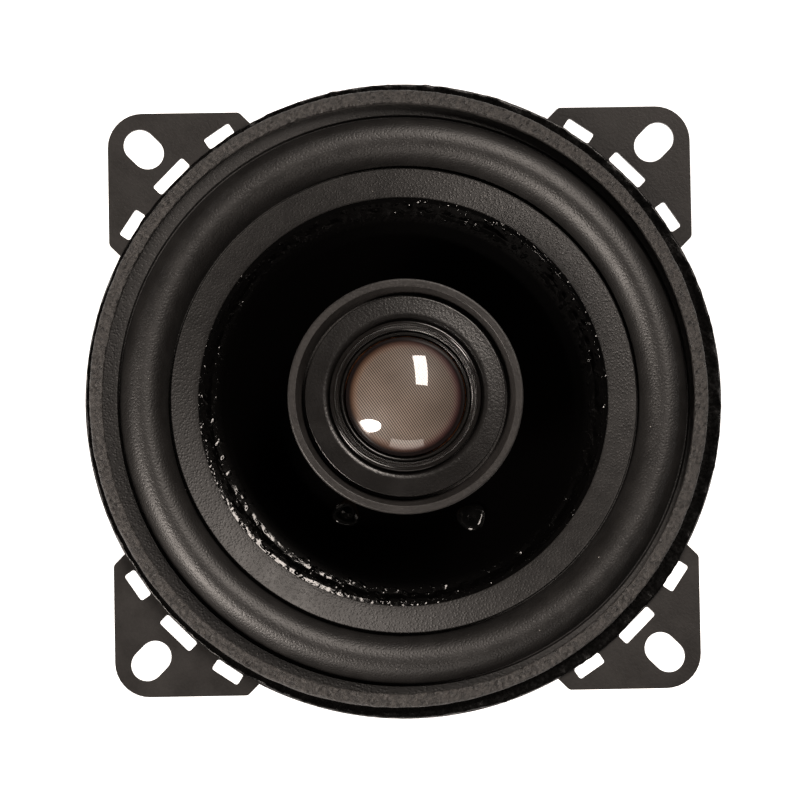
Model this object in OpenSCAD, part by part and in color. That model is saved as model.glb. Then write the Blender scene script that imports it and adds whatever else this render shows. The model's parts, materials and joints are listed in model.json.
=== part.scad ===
// Coaxial car speaker, 4 inch, with its tweeter on a centre post.
// The origin is on the axis at the back face of the ears, and +Z points to the listener.
// One ear points along +X; the terminals sit between the two ears on -X and -Y.

/* [Flange and ears] */
// Outer radius of the round flange
flange_r = 50.5; // [50:0.1:50.8]
// Thickness of the pressed steel sheet
sheet_t = 1.0; // [0.8:0.05:1.1]
// Diameter of the circle that the ear slots lie on
slot_circle_d = 115; // [114.5:0.1:115.5]
// Width of each ear slot
slot_w = 5.1; // [4.6:0.1:5.2]
// Length of each ear slot
slot_l = 6.9; // [6:0.1:7]
// Half of an ear's width at its root
ear_half_w = 14.8; // [14.4:0.1:15]
// Distance from the axis to an ear's corner before it is rounded
ear_corner = 65.6; // [65.2:0.1:66]
// Radius of an ear's rounded corner
ear_corner_r = 5.5; // [5:0.1:6]
// Distance from the axis to the row of break-off slots
breakoff_r = 51.35; // [51.2:0.05:51.5]
// Width of a break-off slot, measured along the radius
breakoff_w = 1.9; // [1.6:0.1:2]

/* [Basket] */
// Outer radius of the wall that passes through the mounting hole
spigot_r = 46.2; // [46:0.1:46.4]
// Length of that wall
spigot_l = 5; // [4.5:0.1:5.2]
// Depth of the spider's shelf below the ears
shelf_depth = 16; // [15.9:0.05:16.1]
// Depth of the basket below the ears
basket_depth = 24; // [23.8:0.1:24.2]
// Outer radius of the cup below the shelf
cup_r = 27; // [26.9:0.05:27.05]
// Half of a window's length, in degrees
window_half_angle = 23; // [20:0.5:24]
// Half of a window's height, measured along the slanted wall
window_half_h = 5; // [4.5:0.1:5]

/* [Cone, surround and gasket] */
// Radius of the cone's outer edge
cone_r = 37; // [36.9:0.05:37.1]
// Thickness of the cone's paper
cone_t = 0.8; // [0.6:0.05:0.8]
// Slope of the cone at its neck, in degrees
cone_neck_slope = 39.2; // [39:0.1:39.4]
// Slope of the cone at its outer edge, in degrees
cone_edge_slope = 21.2; // [21:0.1:21.4]
// Outer radius of the surround's glued flange
surround_r = 50.2; // [49.9:0.1:50.2]
// Half of the surround roll's width
roll_half_w = 4.3; // [4.2:0.05:4.3]
// Height of the surround roll above its flange's middle
roll_h = 4.0; // [3.6:0.1:4.2]
// Outer radius of the gasket ring
gasket_r = 49; // [48.8:0.1:49.2]
// Radial width of the gasket ring
gasket_w = 2.1; // [1.9:0.1:2.3]
// Thickness of the gasket ring
gasket_t = 2.5; // [2:0.1:3]

/* [Motor] */
// Outer radius of the ferrite ring
magnet_r = 32; // [31.5:0.1:32.2]
// Thickness of the ferrite ring
magnet_t = 10; // [10:0.5:10]
// Radius of the steel plates
plate_r = 30; // [29.5:0.1:30.2]
// Thickness of the front plate
top_plate_t = 4; // [4:0.5:4]
// Thickness of the back plate
back_plate_t = 5; // [5:0.5:5]
// Radius of the centre pole
pole_r = 12.3; // [12.2:0.05:12.3]
// Outer radius of the voice coil's former
former_r = 12.9; // [12.85:0.01:12.92]

/* [Tweeter] */
// Outer radius of the tweeter's housing
pod_r = 18.55; // [18.4:0.05:18.7]
// Height of the tweeter's face above the back face of the ears
pod_face_z = 10.3; // [10.3:0.1:10.3]
// Radius of the tweeter's face plate
bezel_r = 15.8; // [15.6:0.05:15.8]
// Radius of the dome at its base
dome_r = 9.4; // [9.38:0.01:9.42]
// Height of the dome above its base
dome_h = 3.7; // [3:0.1:4]

/* [Terminals and leads] */
// Direction of the terminal board round the axis, in degrees
terminal_angle = 225; // [225:1:225]
// Distance from the board's middle to each terminal
terminal_pitch = 5; // [4.8:0.1:5.2]
// Diameter of the tinsel leads
tinsel_d = 0.9; // [0.7:0.1:0.9]
// Diameter of the tweeter's wires
wire_d = 0.8; // [0.6:0.1:0.8]

/* [Hidden] */
$fn = 96;
root2 = sqrt(2);
skin = 0.02;            // clearance between pieces that are staked or glued together
glue_gap = 0.1;         // room left between a moving piece and the soft piece glued to it

// Levels of the basket and motor
shelf_z = -shelf_depth;
seat_z = -basket_depth;
gap_top_z = seat_z;
top_plate_back_z = seat_z - top_plate_t;
magnet_back_z = top_plate_back_z - magnet_t;
back_z = magnet_back_z - back_plate_t;

// Slanted wall at 45 degrees: radius minus height is constant along its outer face
wall_sum = spigot_r + spigot_l;
wall_inner_sum = wall_sum - sheet_t * root2;
slant_mid_z = -11;
slant_mid_r = wall_sum + slant_mid_z;
shelf_outer_r = wall_sum + shelf_z - sheet_t;
basket_hole_r = 14.5;

// Ears
ear_root = 44;
ear_notch_r = 1;
ear_angles = [0, 90, 180, 270];
breakoff_side_angle = 11.1;
breakoff_mid_l = 6.6;
breakoff_side_l = 4.8;
breakoff_corner_r = 0.4;

// Staked rivets that hold the front plate
stake_circle_r = 20.5;
stake_r = 1.5;
stake_head_r = 2.3;
stake_angles = [0, 90, 180, 270];

// Cone: its face is an arc whose slope falls evenly from the neck to the edge
neck_r = former_r + skin;
neck_z = -13.4;
arc_r = (cone_r - neck_r) / (sin(cone_neck_slope) - sin(cone_edge_slope));
cone_steps = 10;
function cone_point(slope) = [neck_r + arc_r * (sin(cone_neck_slope) - sin(slope)),
                              neck_z + arc_r * (cos(slope) - cos(cone_neck_slope))];
function slope_at(r) = asin(sin(cone_neck_slope) - (r - neck_r) / arc_r);
function cone_z(r) = cone_point(slope_at(r))[1];
function cone_slope(i) = cone_neck_slope + (cone_edge_slope - cone_neck_slope) * i / cone_steps;

// Surround
rubber_t = 0.6;
surround_top_z = sheet_t + 0.7;
roll_mid_r = 41.5;
roll_base_z = sheet_t + 0.3;
inner_flange_r = 32.6;
roll_steps = 16;

// Gasket: glued on by hand, a little off the axis
gasket_shift = [-0.4, 0.75];

// Voice coil
former_t = 0.3;
former_top_z = -9.6;
former_bottom_z = -30.2;
winding_t = 0.48;
winding_top_z = -21.6;
winding_bottom_z = -30;
gap_outer_r = 13.8;
magnet_hole_r = 16;

// Spider: a pleated cloth disc between the shelf and the former
spider_t = 0.4;
spider_r = 32.5;
spider_flat_r = 27;
pleat_start_r = 14;
pleat_h = 0.9;
pleat_count = 4;
pleat_steps = 8;
function pleat_z(r) = shelf_z + spider_t / 2
    - pleat_h * sin(360 * pleat_count * (r - pleat_start_r) / (spider_flat_r - pleat_start_r));

// Centre post, its stud and the pocket in the back plate
post_r = 6.5;
post_base_r = 11;
post_bore_r = 1.8;
post_spigot_r = 4;
stud_r = 3;
stud_bore_r = 1.5;
stud_top_z = -14.5;
stud_bottom_z = back_z + 2.1;
pocket_r = 7.5;
pocket_roof_z = magnet_back_z;
washer_r = 6;
washer_t = 0.6;
nut_r = 5.2;
nut_t = 1.9;
channel_w = 3.4;
channel_h = 1.8;

// Tweeter levels
pod_floor_z = 1.2;
pod_floor_t = 1.5;
pod_inner_z = pod_floor_z + pod_floor_t;
ledge_z = 7.5;
bezel_lip_z = 8.2;
capsule_back_z = 4.3;
capsule_r = 12;
capsule_wall = 1.8;
capsule_floor = 0.9;
tweeter_plate_r = 9;
tweeter_plate_t = 0.8;
tweeter_magnet_r = 8.6;
dome_base_z = 8.6;
dome_t = 0.2;
dome_ball_r = (dome_r * dome_r + dome_h * dome_h) / (2 * dome_h);
dome_ball_z = dome_base_z + dome_h - dome_ball_r;
ring_inner_r = 10.4;
ring_outer_r = 11.9;
ring_top_z = 10.3;

// Terminal board, in its own frame on the slanted wall:
// X runs down the slope, Y round the axis and Z out of the wall
board_x = [-3.2, 7.8];
board_half_w = 9.5;
board_t = 1.2;
pad_x = [-3.6, 8.2];
pad_z = [-1.5, 0.5];
board_rivet_x = [-1.4, 6];
board_rivet_r = 1.2;
terminal_rivet_x = 1;
terminal_rivet_r = 1;
terminal_t = 0.8;
terminal_base_x = [-2.8, 3.6];
blade_start_x = 3.2;
blade_l = 9.5;
wide_blade_w = 4.8;
narrow_blade_w = 2.8;
lead_hole_x = -5.6;
lead_hole_r = 1.3;

// Capacitor, lying under the shelf beside the terminals
capacitor_r = 3.15;
capacitor_l = 11;
capacitor_mid_r = 30.5;
capacitor_z = -20.4;
capacitor_angle = 24;
capacitor_lead_d = 0.6;

// Routes, in a frame turned to the terminals: X outwards, Y round the axis, Z forwards
tinsel_route = [[18, 9.8, -9.1], [18.3, 9.8, -10.2], [19.6, 9.6, -11.8], [22.5, 9.2, -13.2],
                [27, 8.4, -13.6], [32, 7.4, -12.2], [36.5, 6.3, -9.4], [39.2, 5.6, -6.8],
                [41.2, 5.1, -5.7], [42.6, 5, -5.9], [43.8, 5, -6.8], [44.8, 5, -8],
                [45, 5, -9.4], [44.5, 5, -10.8], [43.4, 5, -12]];
wire_in_pod = [[13.5, 3.5, 4.6], [13.5, 3.5, 4.1], [13, 3.3, 3.5], [12, 3.1, 3.25],
               [7, 1.9, 3.2], [3, 0.9, 3.2], [1.5, 0.65, 2.9], [0.4, 0.6, 2],
               [0, 0.6, 0.5], [0, 0.6, -8], [0, 0.6, -18], [0, 0.6, -29], [0, 0.6, -39],
               [0.2, 0.6, -40.4], [0.8, 0.6, -41.4], [2, 0.6, -42], [4, 0.6, -42.05],
               [12, 0.6, -42.05], [20, 0.6, -42.05], [28, 0.6, -42.05], [31, 0.6, -41.7],
               [33, 0.6, -40.4], [33.6, 0.6, -38], [33.6, 0.6, -33], [33.6, 0.6, -28]];
wire_to_capacitor = [[33.4, 1.2, -25.8], [32.9, 2.3, -24], [32.2, 3.6, -22.9],
                     [31.6, 4.6, -22.4]];
wire_to_terminal = [[34, 1.6, -24.6], [35, 3.4, -21], [36.6, 4.6, -18.4], [38.2, 5, -17],
                    [39.1, 5, -17]];
lead_to_terminal = [[30.1, 7.4, -19.4], [30.9, 5.9, -19.3], [33, 5, -19.1], [35.6, 5, -19],
                    [37.6, 5, -18.1], [38.6, 5, -17.2], [39.1, 5, -17]];
lead_to_wire = [[30.1, 7.4, -21.4], [30.6, 6.3, -21.7], [31.1, 5.4, -22.1],
                [31.6, 4.6, -22.4]];

// ---------- helpers ----------

// Ring with square edges between two radii and two heights
module ring(outer, inner, low, high) {
    translate([0, 0, low]) difference() {
        cylinder(r = outer, h = high - low);
        translate([0, 0, -1]) cylinder(r = inner, h = high - low + 2);
    }
}

// Disc with chamfered outer edges between two heights
module chamfered_disc(r, low, high, edge) {
    rotate_extrude() polygon([[0, low], [r - edge, low], [r, low + edge],
                              [r, high - edge], [r - edge, high], [0, high]]);
}

// Slot with round ends, along X
module stadium(length, width) {
    square([length - width, width], center = true);
    for (side = [-1, 1]) translate([side * (length - width) / 2, 0]) circle(d = width);
}

// Rectangle with small round corners
module rounded_rectangle(x, y, r) {
    square([x - 2 * r, y], center = true);
    square([x, y - 2 * r], center = true);
    for (i = [-1, 1], j = [-1, 1]) translate([i * (x / 2 - r), j * (y / 2 - r)]) circle(r = r);
}

// Turns its children so that X points to the terminals
module towards_terminals() {
    rotate([0, 0, terminal_angle]) children();
}

// Places its children on the slanted wall under the terminals
module on_board() {
    towards_terminals() translate([slant_mid_r, 0, slant_mid_z]) rotate([0, 135, 0]) children();
}

// Curve through a route's points, with one new point between each two
function between(p, i) = (9 * (p[i] + p[i + 1])
    - p[max(i - 1, 0)] - p[min(i + 2, len(p) - 1)]) / 16;
function smooth(p) = [for (i = [0 : len(p) - 1]) each
    i < len(p) - 1 ? [p[i], between(p, i)] : [p[i]]];

// Mirror image of a route on the other side of the terminals' middle line
function mirrored(p) = [for (q = p) [q[0], -q[1], q[2]]];

// Unit vector, and the heading of a route at one of its points
function unit(v) = v / norm(v);
function heading(p, i) = unit(p[min(i + 1, len(p) - 1)] - p[max(i - 1, 0)]);

// Round tube of diameter d along a route that never runs along Y
module tube(route, d) {
    sides = 8;
    last = len(route) - 1;
    points = [for (i = [0 : last])
        let (ahead = heading(route, i),
             across = unit(cross([0, 1, 0], ahead)),
             up = cross(ahead, across))
        for (k = [0 : sides - 1])
            route[i] + d / 2 * (cos(360 * k / sides) * across + sin(360 * k / sides) * up)];
    walls = [for (i = [0 : last - 1], k = [0 : sides - 1])
        let (a = i * sides + k, b = i * sides + (k + 1) % sides)
        each [[a, a + sides, b], [b, a + sides, b + sides]]];
    start_cap = [for (k = [0 : sides - 1]) k];
    end_cap = [for (k = [0 : sides - 1]) last * sides + sides - 1 - k];
    polyhedron(points = points, faces = concat(walls, [start_cap, end_cap]));
}

// ---------- basket ----------

module ear_outline() {
    notch_x = ear_corner - ear_half_w + ear_notch_r * (1 - root2);
    notch_y = ear_half_w - ear_notch_r;
    tip_x = ear_corner - ear_corner_r * root2;
    for (side = [-1, 1]) {
        translate([notch_x, side * notch_y]) circle(r = ear_notch_r);
        polygon([[ear_root, 0], [ear_root, side * ear_half_w], [notch_x, side * ear_half_w],
                 [notch_x + ear_notch_r / root2, side * (notch_y + ear_notch_r / root2)],
                 [tip_x + ear_corner_r / root2, side * ear_corner_r / root2],
                 [tip_x + ear_corner_r / root2, 0]]);
    }
    translate([tip_x, 0]) circle(r = ear_corner_r);
}

module ear_holes() {
    translate([slot_circle_d / 2, 0]) stadium(slot_l, slot_w);
    translate([breakoff_r, 0]) rounded_rectangle(breakoff_w, breakoff_mid_l, breakoff_corner_r);
    for (side = [-1, 1]) rotate(side * breakoff_side_angle) translate([breakoff_r, 0])
        rounded_rectangle(breakoff_w, breakoff_side_l, breakoff_corner_r);
}

module flange_plate() {
    linear_extrude(sheet_t) difference() {
        union() {
            circle(r = flange_r);
            for (a = ear_angles) rotate(a) ear_outline();
        }
        circle(r = spigot_r - sheet_t);
        for (a = ear_angles) rotate(a) ear_holes();
    }
}

module bowl() {
    inner_r = spigot_r - sheet_t;
    rotate_extrude() polygon([
        [spigot_r, sheet_t / 2], [spigot_r, -spigot_l],
        [wall_sum + shelf_z - sheet_t, shelf_z - sheet_t], [cup_r, shelf_z - sheet_t],
        [cup_r, seat_z], [basket_hole_r, seat_z], [basket_hole_r, seat_z + sheet_t],
        [cup_r - sheet_t, seat_z + sheet_t], [cup_r - sheet_t, shelf_z],
        [wall_inner_sum + shelf_z, shelf_z], [inner_r, inner_r - wall_inner_sum],
        [inner_r, sheet_t / 2]]);
}

module window_cut() {
    depth = 3;
    end_step = 0.4;
    down = [-1, -1] / root2;
    out = [1, -1] / root2;
    middle = [slant_mid_r, slant_mid_z];
    rotate([0, 0, -window_half_angle]) rotate_extrude(angle = 2 * window_half_angle)
        polygon([middle - window_half_h * down - depth * out,
                 middle - window_half_h * down + depth * out,
                 middle + window_half_h * down + depth * out,
                 middle + window_half_h * down - depth * out]);
    for (side = [-1, 1]) rotate([0, 0, side * window_half_angle])
        translate([slant_mid_r, 0, slant_mid_z]) rotate([0, 135, 0])
            cylinder(r = window_half_h - end_step, h = 2 * depth, center = true);
}

module basket() {
    reach = 4;
    color([0.15, 0.14, 0.14]) difference() {
        union() {
            flange_plate();
            bowl();
            on_board() translate([pad_x[0], -board_half_w - 0.1, pad_z[0]])
                cube([pad_x[1] - pad_x[0], 2 * board_half_w + 0.2, pad_z[1] - pad_z[0]]);
        }
        for (a = [0, 90, 180, 270]) rotate([0, 0, a]) window_cut();
        for (a = stake_angles) rotate([0, 0, a]) translate([stake_circle_r, 0, seat_z - 1])
            cylinder(r = stake_r + skin, h = sheet_t + 2);
        on_board() {
            for (x = board_rivet_x) translate([x, 0, -reach])
                cylinder(r = board_rivet_r + skin, h = 2 * reach);
            for (side = [-1, 1]) {
                translate([lead_hole_x, side * terminal_pitch, -reach])
                    cylinder(r = lead_hole_r, h = 2 * reach);
                translate([terminal_rivet_x, side * terminal_pitch, -reach])
                    cylinder(r = terminal_rivet_r + 1.4, h = 2 * reach);
            }
        }
    }
}

// ---------- cone assembly ----------

module front_gasket() {
    color([0.26, 0.25, 0.24]) translate(gasket_shift)
        ring(gasket_r, gasket_r - gasket_w, surround_top_z, surround_top_z + gasket_t);
}

module surround() {
    inner_top = [inner_flange_r, cone_z(inner_flange_r) + glue_gap + rubber_t];
    inner_low = [inner_flange_r, cone_z(inner_flange_r) + glue_gap];
    edge_low = [cone_r + 0.1, cone_z(cone_r) + glue_gap];
    small_w = roll_half_w - rubber_t;
    small_h = roll_h - rubber_t + 0.3;
    color([0.20, 0.19, 0.19]) rotate_extrude() polygon(concat(
        [[surround_r, sheet_t], [surround_r, surround_top_z],
         [roll_mid_r + roll_half_w, surround_top_z]],
        [for (i = [0 : roll_steps]) let (a = 180 * i / roll_steps)
            [roll_mid_r + roll_half_w * cos(a), roll_base_z + roll_h * sin(a)]],
        [inner_top, inner_low, edge_low],
        [for (i = [0 : roll_steps]) let (a = 180 - 180 * i / roll_steps)
            [roll_mid_r + small_w * cos(a), sheet_t + small_h * sin(a)]]));
}

module cone() {
    front = [for (i = [0 : cone_steps]) cone_point(cone_slope(i))];
    back = [for (i = [cone_steps : -1 : 0]) cone_point(cone_slope(i)) - [0, cone_t]];
    color([0.02, 0.02, 0.02]) rotate_extrude() polygon(concat(front, back));
}

module lead_glue_dabs() {
    dab_ball_r = 3;
    dab_r = 2.3;
    color([0.01, 0.01, 0.01]) towards_terminals() for (side = [-1, 1])
        translate([tinsel_route[0][0], side * tinsel_route[0][1], 0]) intersection() {
            translate([0, 0, cone_z(20.5) - 1.6]) sphere(r = dab_ball_r);
            translate([0, 0, cone_z(20.5) - 0.6]) cylinder(r = dab_r, h = 4);
        }
}

module voice_coil_former() {
    color([0.75, 0.55, 0.25])
        ring(former_r, former_r - former_t, former_bottom_z, former_top_z);
}

module voice_coil_winding() {
    color([0.72, 0.40, 0.18])
        ring(former_r + skin + winding_t, former_r + skin, winding_bottom_z, winding_top_z);
}

module spider() {
    collar_r = former_r + glue_gap;
    steps = pleat_count * pleat_steps;
    rs = [for (i = [0 : steps]) pleat_start_r + (spider_flat_r - pleat_start_r) * i / steps];
    top = [for (r = rs) [r, pleat_z(r) + spider_t / 2]];
    bottom = [for (i = [steps : -1 : 0]) [rs[i], pleat_z(rs[i]) - spider_t / 2]];
    color([0.78, 0.66, 0.40]) rotate_extrude() polygon(concat(
        [[collar_r, shelf_z], [collar_r, shelf_z + 1.3], [collar_r + spider_t, shelf_z + 1.3],
         [collar_r + spider_t, shelf_z + spider_t]],
        top,
        [[spider_r, shelf_z + spider_t], [spider_r, shelf_z]],
        bottom));
}

// ---------- motor ----------

module top_plate() {
    color([0.30, 0.30, 0.31]) difference() {
        chamfered_disc(plate_r, top_plate_back_z, seat_z, 0.4);
        translate([0, 0, top_plate_back_z - 1]) cylinder(r = gap_outer_r, h = top_plate_t + 2);
        for (a = stake_angles) rotate([0, 0, a]) translate([stake_circle_r, 0, seat_z - 3])
            cylinder(r = stake_r + skin, h = 4);
    }
}

module plate_rivets() {
    shank_l = sheet_t + 2.5;
    color([0.35, 0.35, 0.36]) for (a = stake_angles) rotate([0, 0, a])
        translate([stake_circle_r, 0, 0]) {
            translate([0, 0, seat_z + sheet_t - shank_l]) cylinder(r = stake_r, h = shank_l);
            translate([0, 0, seat_z + sheet_t]) cylinder(r = stake_head_r, h = 0.7);
        }
}

module magnet() {
    color([0.17, 0.17, 0.18]) difference() {
        chamfered_disc(magnet_r, magnet_back_z, top_plate_back_z, 0.9);
        translate([0, 0, magnet_back_z - 1]) cylinder(r = magnet_hole_r, h = magnet_t + 2);
    }
}

module t_yoke() {
    color([0.30, 0.30, 0.31]) difference() {
        union() {
            chamfered_disc(plate_r, back_z, magnet_back_z, 0.6);
            translate([0, 0, back_z + 1]) cylinder(r = pole_r, h = gap_top_z - back_z - 1);
        }
        translate([0, 0, back_z - 1]) cylinder(r = stud_r + skin, h = gap_top_z - back_z + 2);
        translate([0, 0, back_z - 1]) cylinder(r = pocket_r, h = pocket_roof_z - back_z + 1);
        towards_terminals() translate([pocket_r - 1, -channel_w / 2, back_z - 1])
            cube([plate_r, channel_w, channel_h + 1]);
    }
}

// ---------- terminals ----------

module terminal_board() {
    color([0.38, 0.22, 0.12]) on_board() difference() {
        translate([board_x[0], -board_half_w, pad_z[1]])
            cube([board_x[1] - board_x[0], 2 * board_half_w, board_t]);
        for (x = board_rivet_x) translate([x, 0, 0]) cylinder(r = board_rivet_r + skin, h = 3);
        for (side = [-1, 1]) translate([terminal_rivet_x, side * terminal_pitch, 0])
            cylinder(r = terminal_rivet_r + skin, h = 3);
    }
}

module board_rivets() {
    head_r = 1.9;
    head_t = 0.6;
    color([0.70, 0.70, 0.70]) on_board() for (x = board_rivet_x) translate([x, 0, 0]) {
        translate([0, 0, pad_z[0]]) cylinder(r = board_rivet_r, h = pad_z[1] - pad_z[0] + board_t);
        translate([0, 0, pad_z[0] - head_t]) cylinder(r = head_r, h = head_t);
        translate([0, 0, pad_z[1] + board_t]) cylinder(r = head_r, h = head_t);
    }
}

module terminal(side, blade_w) {
    base_w = max(blade_w, 3.4);
    base_z = pad_z[1] + board_t;
    tip = 1.2;
    on_board() translate([0, side * terminal_pitch, base_z]) difference() {
        union() {
            translate([terminal_base_x[0], -base_w / 2, 0])
                cube([terminal_base_x[1] - terminal_base_x[0], base_w, terminal_t]);
            translate([blade_start_x, 0, 0]) rotate([0, -45, 0]) linear_extrude(terminal_t)
                polygon([[0, -blade_w / 2], [blade_l - tip, -blade_w / 2],
                         [blade_l, -blade_w / 2 + tip * 0.6], [blade_l, blade_w / 2 - tip * 0.6],
                         [blade_l - tip, blade_w / 2], [0, blade_w / 2]]);
        }
        translate([terminal_rivet_x, 0, -1]) cylinder(r = terminal_rivet_r + skin, h = 3);
        translate([blade_start_x, 0, 0]) rotate([0, -45, 0])
            translate([blade_l - 3.6, 0, -1]) cylinder(r = 0.8, h = 3);
    }
}

module terminal_positive() {
    color([0.80, 0.72, 0.45]) terminal(1, wide_blade_w);
}

module terminal_negative() {
    color([0.80, 0.72, 0.45]) terminal(-1, narrow_blade_w);
}

module terminal_rivets() {
    head_r = 1.6;
    head_t = 0.55;
    stack_t = board_t + terminal_t;
    color([0.70, 0.70, 0.70]) on_board() for (side = [-1, 1])
        translate([terminal_rivet_x, side * terminal_pitch, pad_z[1]]) {
            cylinder(r = terminal_rivet_r, h = stack_t);
            translate([0, 0, -head_t]) cylinder(r = head_r, h = head_t);
            translate([0, 0, stack_t]) cylinder(r = head_r, h = head_t);
        }
}

module tinsel_lead_positive() {
    color([0.65, 0.45, 0.25]) towards_terminals() tube(smooth(tinsel_route), tinsel_d);
}

module tinsel_lead_negative() {
    color([0.65, 0.45, 0.25]) towards_terminals() tube(smooth(mirrored(tinsel_route)), tinsel_d);
}

module crossover_capacitor() {
    color([0.05, 0.10, 0.30]) rotate([0, 0, terminal_angle + capacitor_angle])
        translate([capacitor_mid_r, 0, capacitor_z]) rotate([90, 0, 0])
            cylinder(r = capacitor_r, h = capacitor_l, center = true);
}

module capacitor_leads() {
    color([0.75, 0.75, 0.75]) towards_terminals() {
        tube(smooth(lead_to_terminal), capacitor_lead_d);
        tube(smooth(lead_to_wire), capacitor_lead_d);
    }
}

module tweeter_wire_positive() {
    color([0.55, 0.08, 0.06]) towards_terminals()
        tube(smooth(concat(wire_in_pod, wire_to_capacitor)), wire_d);
}

module tweeter_wire_negative() {
    color([0.04, 0.04, 0.04]) towards_terminals()
        tube(smooth(mirrored(concat(wire_in_pod, wire_to_terminal))), wire_d);
}

// ---------- tweeter ----------

module tweeter_post() {
    color([0.10, 0.10, 0.10]) rotate_extrude() polygon([
        [stud_r + skin, gap_top_z], [post_base_r, gap_top_z], [post_base_r, gap_top_z + 1.2],
        [post_r + 0.8, gap_top_z + 4], [post_r, gap_top_z + 7], [post_r, -3],
        [post_r + 1, -1], [post_r + 3, pod_floor_z], [post_spigot_r, pod_floor_z],
        [post_spigot_r, pod_inner_z], [post_bore_r, pod_inner_z], [post_bore_r, stud_top_z + 0.3],
        [stud_r + skin, stud_top_z + 0.3]]);
}

module post_stud() {
    color([0.70, 0.70, 0.68]) ring(stud_r, stud_bore_r, stud_bottom_z, stud_top_z);
}

module post_washer() {
    color([0.70, 0.70, 0.68]) ring(washer_r, stud_r + 0.1, pocket_roof_z - washer_t, pocket_roof_z);
}

module post_nut() {
    top = pocket_roof_z - washer_t;
    color([0.72, 0.65, 0.40]) difference() {
        translate([0, 0, top - nut_t]) cylinder(r = nut_r, h = nut_t, $fn = 6);
        translate([0, 0, top - nut_t - 1]) cylinder(r = stud_r + skin, h = nut_t + 2);
    }
}

module tweeter_housing() {
    body_r = pod_r - 0.4;
    inner_r = 14.8;
    color([0.12, 0.12, 0.12]) rotate_extrude() polygon([
        [post_spigot_r + skin, pod_floor_z], [body_r - 2, pod_floor_z],
        [body_r, pod_floor_z + 2], [body_r, pod_face_z - 2.1],
        [pod_r, pod_face_z - 1.7], [pod_r, pod_face_z - 0.25], [pod_r - 0.25, pod_face_z],
        [bezel_r + 1.5, pod_face_z], [bezel_r + 0.5, pod_face_z - 0.9],
        [bezel_r + 0.3, pod_face_z - 1.3], [bezel_r + 0.3, ledge_z], [inner_r, ledge_z],
        [inner_r, pod_inner_z], [post_spigot_r + skin, pod_inner_z]]);
}

module tweeter_bezel() {
    color([0.16, 0.16, 0.16]) rotate_extrude() polygon([
        [ring_inner_r + 0.1, ledge_z], [bezel_r, ledge_z], [bezel_r, 8.9], [bezel_r - 0.2, 9.1],
        [ring_outer_r + 0.3, 9.8], [ring_outer_r + 0.1, 9.7], [ring_outer_r + 0.1, bezel_lip_z],
        [ring_inner_r + 0.1, bezel_lip_z]]);
}

module tweeter_retaining_ring() {
    low = bezel_lip_z + 0.2;
    color([0.08, 0.08, 0.08]) rotate_extrude() polygon([
        [ring_inner_r, low], [ring_outer_r, low], [ring_outer_r, ring_top_z - 0.4],
        [ring_outer_r - 0.2, ring_top_z - 0.1], [ring_outer_r - 0.45, ring_top_z],
        [ring_outer_r - 0.7, ring_top_z - 0.15], [ring_inner_r + 0.25, ring_top_z - 0.5],
        [ring_inner_r, ring_top_z - 0.6]]);
}

module tweeter_edge() {
    color([0.04, 0.04, 0.04]) rotate_extrude() polygon([
        [ring_outer_r - 0.1, bezel_lip_z], [ring_outer_r - 0.1, bezel_lip_z + 0.2],
        [ring_inner_r, bezel_lip_z + 0.2], [10.2, 8.75], [9.95, 8.85], [9.7, 8.75], [9.6, 8.6],
        [9.6, 8.4], [9.8, 8.55], [9.95, 8.65], [10.1, 8.55], [10.3, bezel_lip_z]]);
}

module tweeter_dome() {
    big = 2 * dome_r;
    color([0.50, 0.44, 0.38, 0.9]) intersection() {
        translate([0, 0, dome_ball_z]) difference() {
            sphere(r = dome_ball_r);
            sphere(r = dome_ball_r - dome_t);
        }
        translate([0, 0, dome_base_z]) cylinder(r = big, h = big);
    }
}

module tweeter_coil_former() {
    color([0.60, 0.40, 0.15]) ring(dome_r, dome_r - 0.1, 6.4, dome_base_z);
}

module tweeter_coil() {
    color([0.70, 0.38, 0.16]) ring(9.75, dome_r + skin, 6.6, 7.6);
}

module tweeter_yoke() {
    color([0.45, 0.45, 0.46]) rotate_extrude() polygon([
        [0, capsule_back_z], [capsule_r, capsule_back_z], [capsule_r, ledge_z],
        [capsule_r - capsule_wall, ledge_z], [capsule_r - capsule_wall, capsule_back_z + capsule_floor],
        [0, capsule_back_z + capsule_floor]]);
}

module tweeter_magnet() {
    low = capsule_back_z + capsule_floor;
    color([0.60, 0.60, 0.61]) translate([0, 0, low])
        cylinder(r = tweeter_magnet_r, h = ledge_z - tweeter_plate_t - low);
}

module tweeter_pole_plate() {
    color([0.50, 0.50, 0.50]) translate([0, 0, ledge_z - tweeter_plate_t])
        cylinder(r = tweeter_plate_r, h = tweeter_plate_t);
}

module tweeter_felt_pad() {
    color([0.60, 0.55, 0.48]) translate([0, 0, ledge_z]) cylinder(r = 7, h = 0.4);
}

module tweeter_terminals() {
    color([0.80, 0.72, 0.45]) towards_terminals() for (side = [-1, 1])
        translate([wire_in_pod[0][0], side * wire_in_pod[0][1], 0])
            translate([-0.2, -1, wire_in_pod[0][2]]) cube([0.4, 2, ledge_z - wire_in_pod[0][2]]);
}

basket();
front_gasket();
surround();
cone();
lead_glue_dabs();
voice_coil_former();
voice_coil_winding();
spider();
top_plate();
plate_rivets();
magnet();
t_yoke();
terminal_board();
board_rivets();
terminal_positive();
terminal_negative();
terminal_rivets();
tinsel_lead_positive();
tinsel_lead_negative();
crossover_capacitor();
capacitor_leads();
tweeter_wire_positive();
tweeter_wire_negative();
tweeter_post();
post_stud();
post_washer();
post_nut();
tweeter_housing();
tweeter_bezel();
tweeter_retaining_ring();
tweeter_edge();
tweeter_dome();
tweeter_coil_former();
tweeter_coil();
tweeter_yoke();
tweeter_magnet();
tweeter_pole_plate();
tweeter_felt_pad();
tweeter_terminals();
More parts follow.
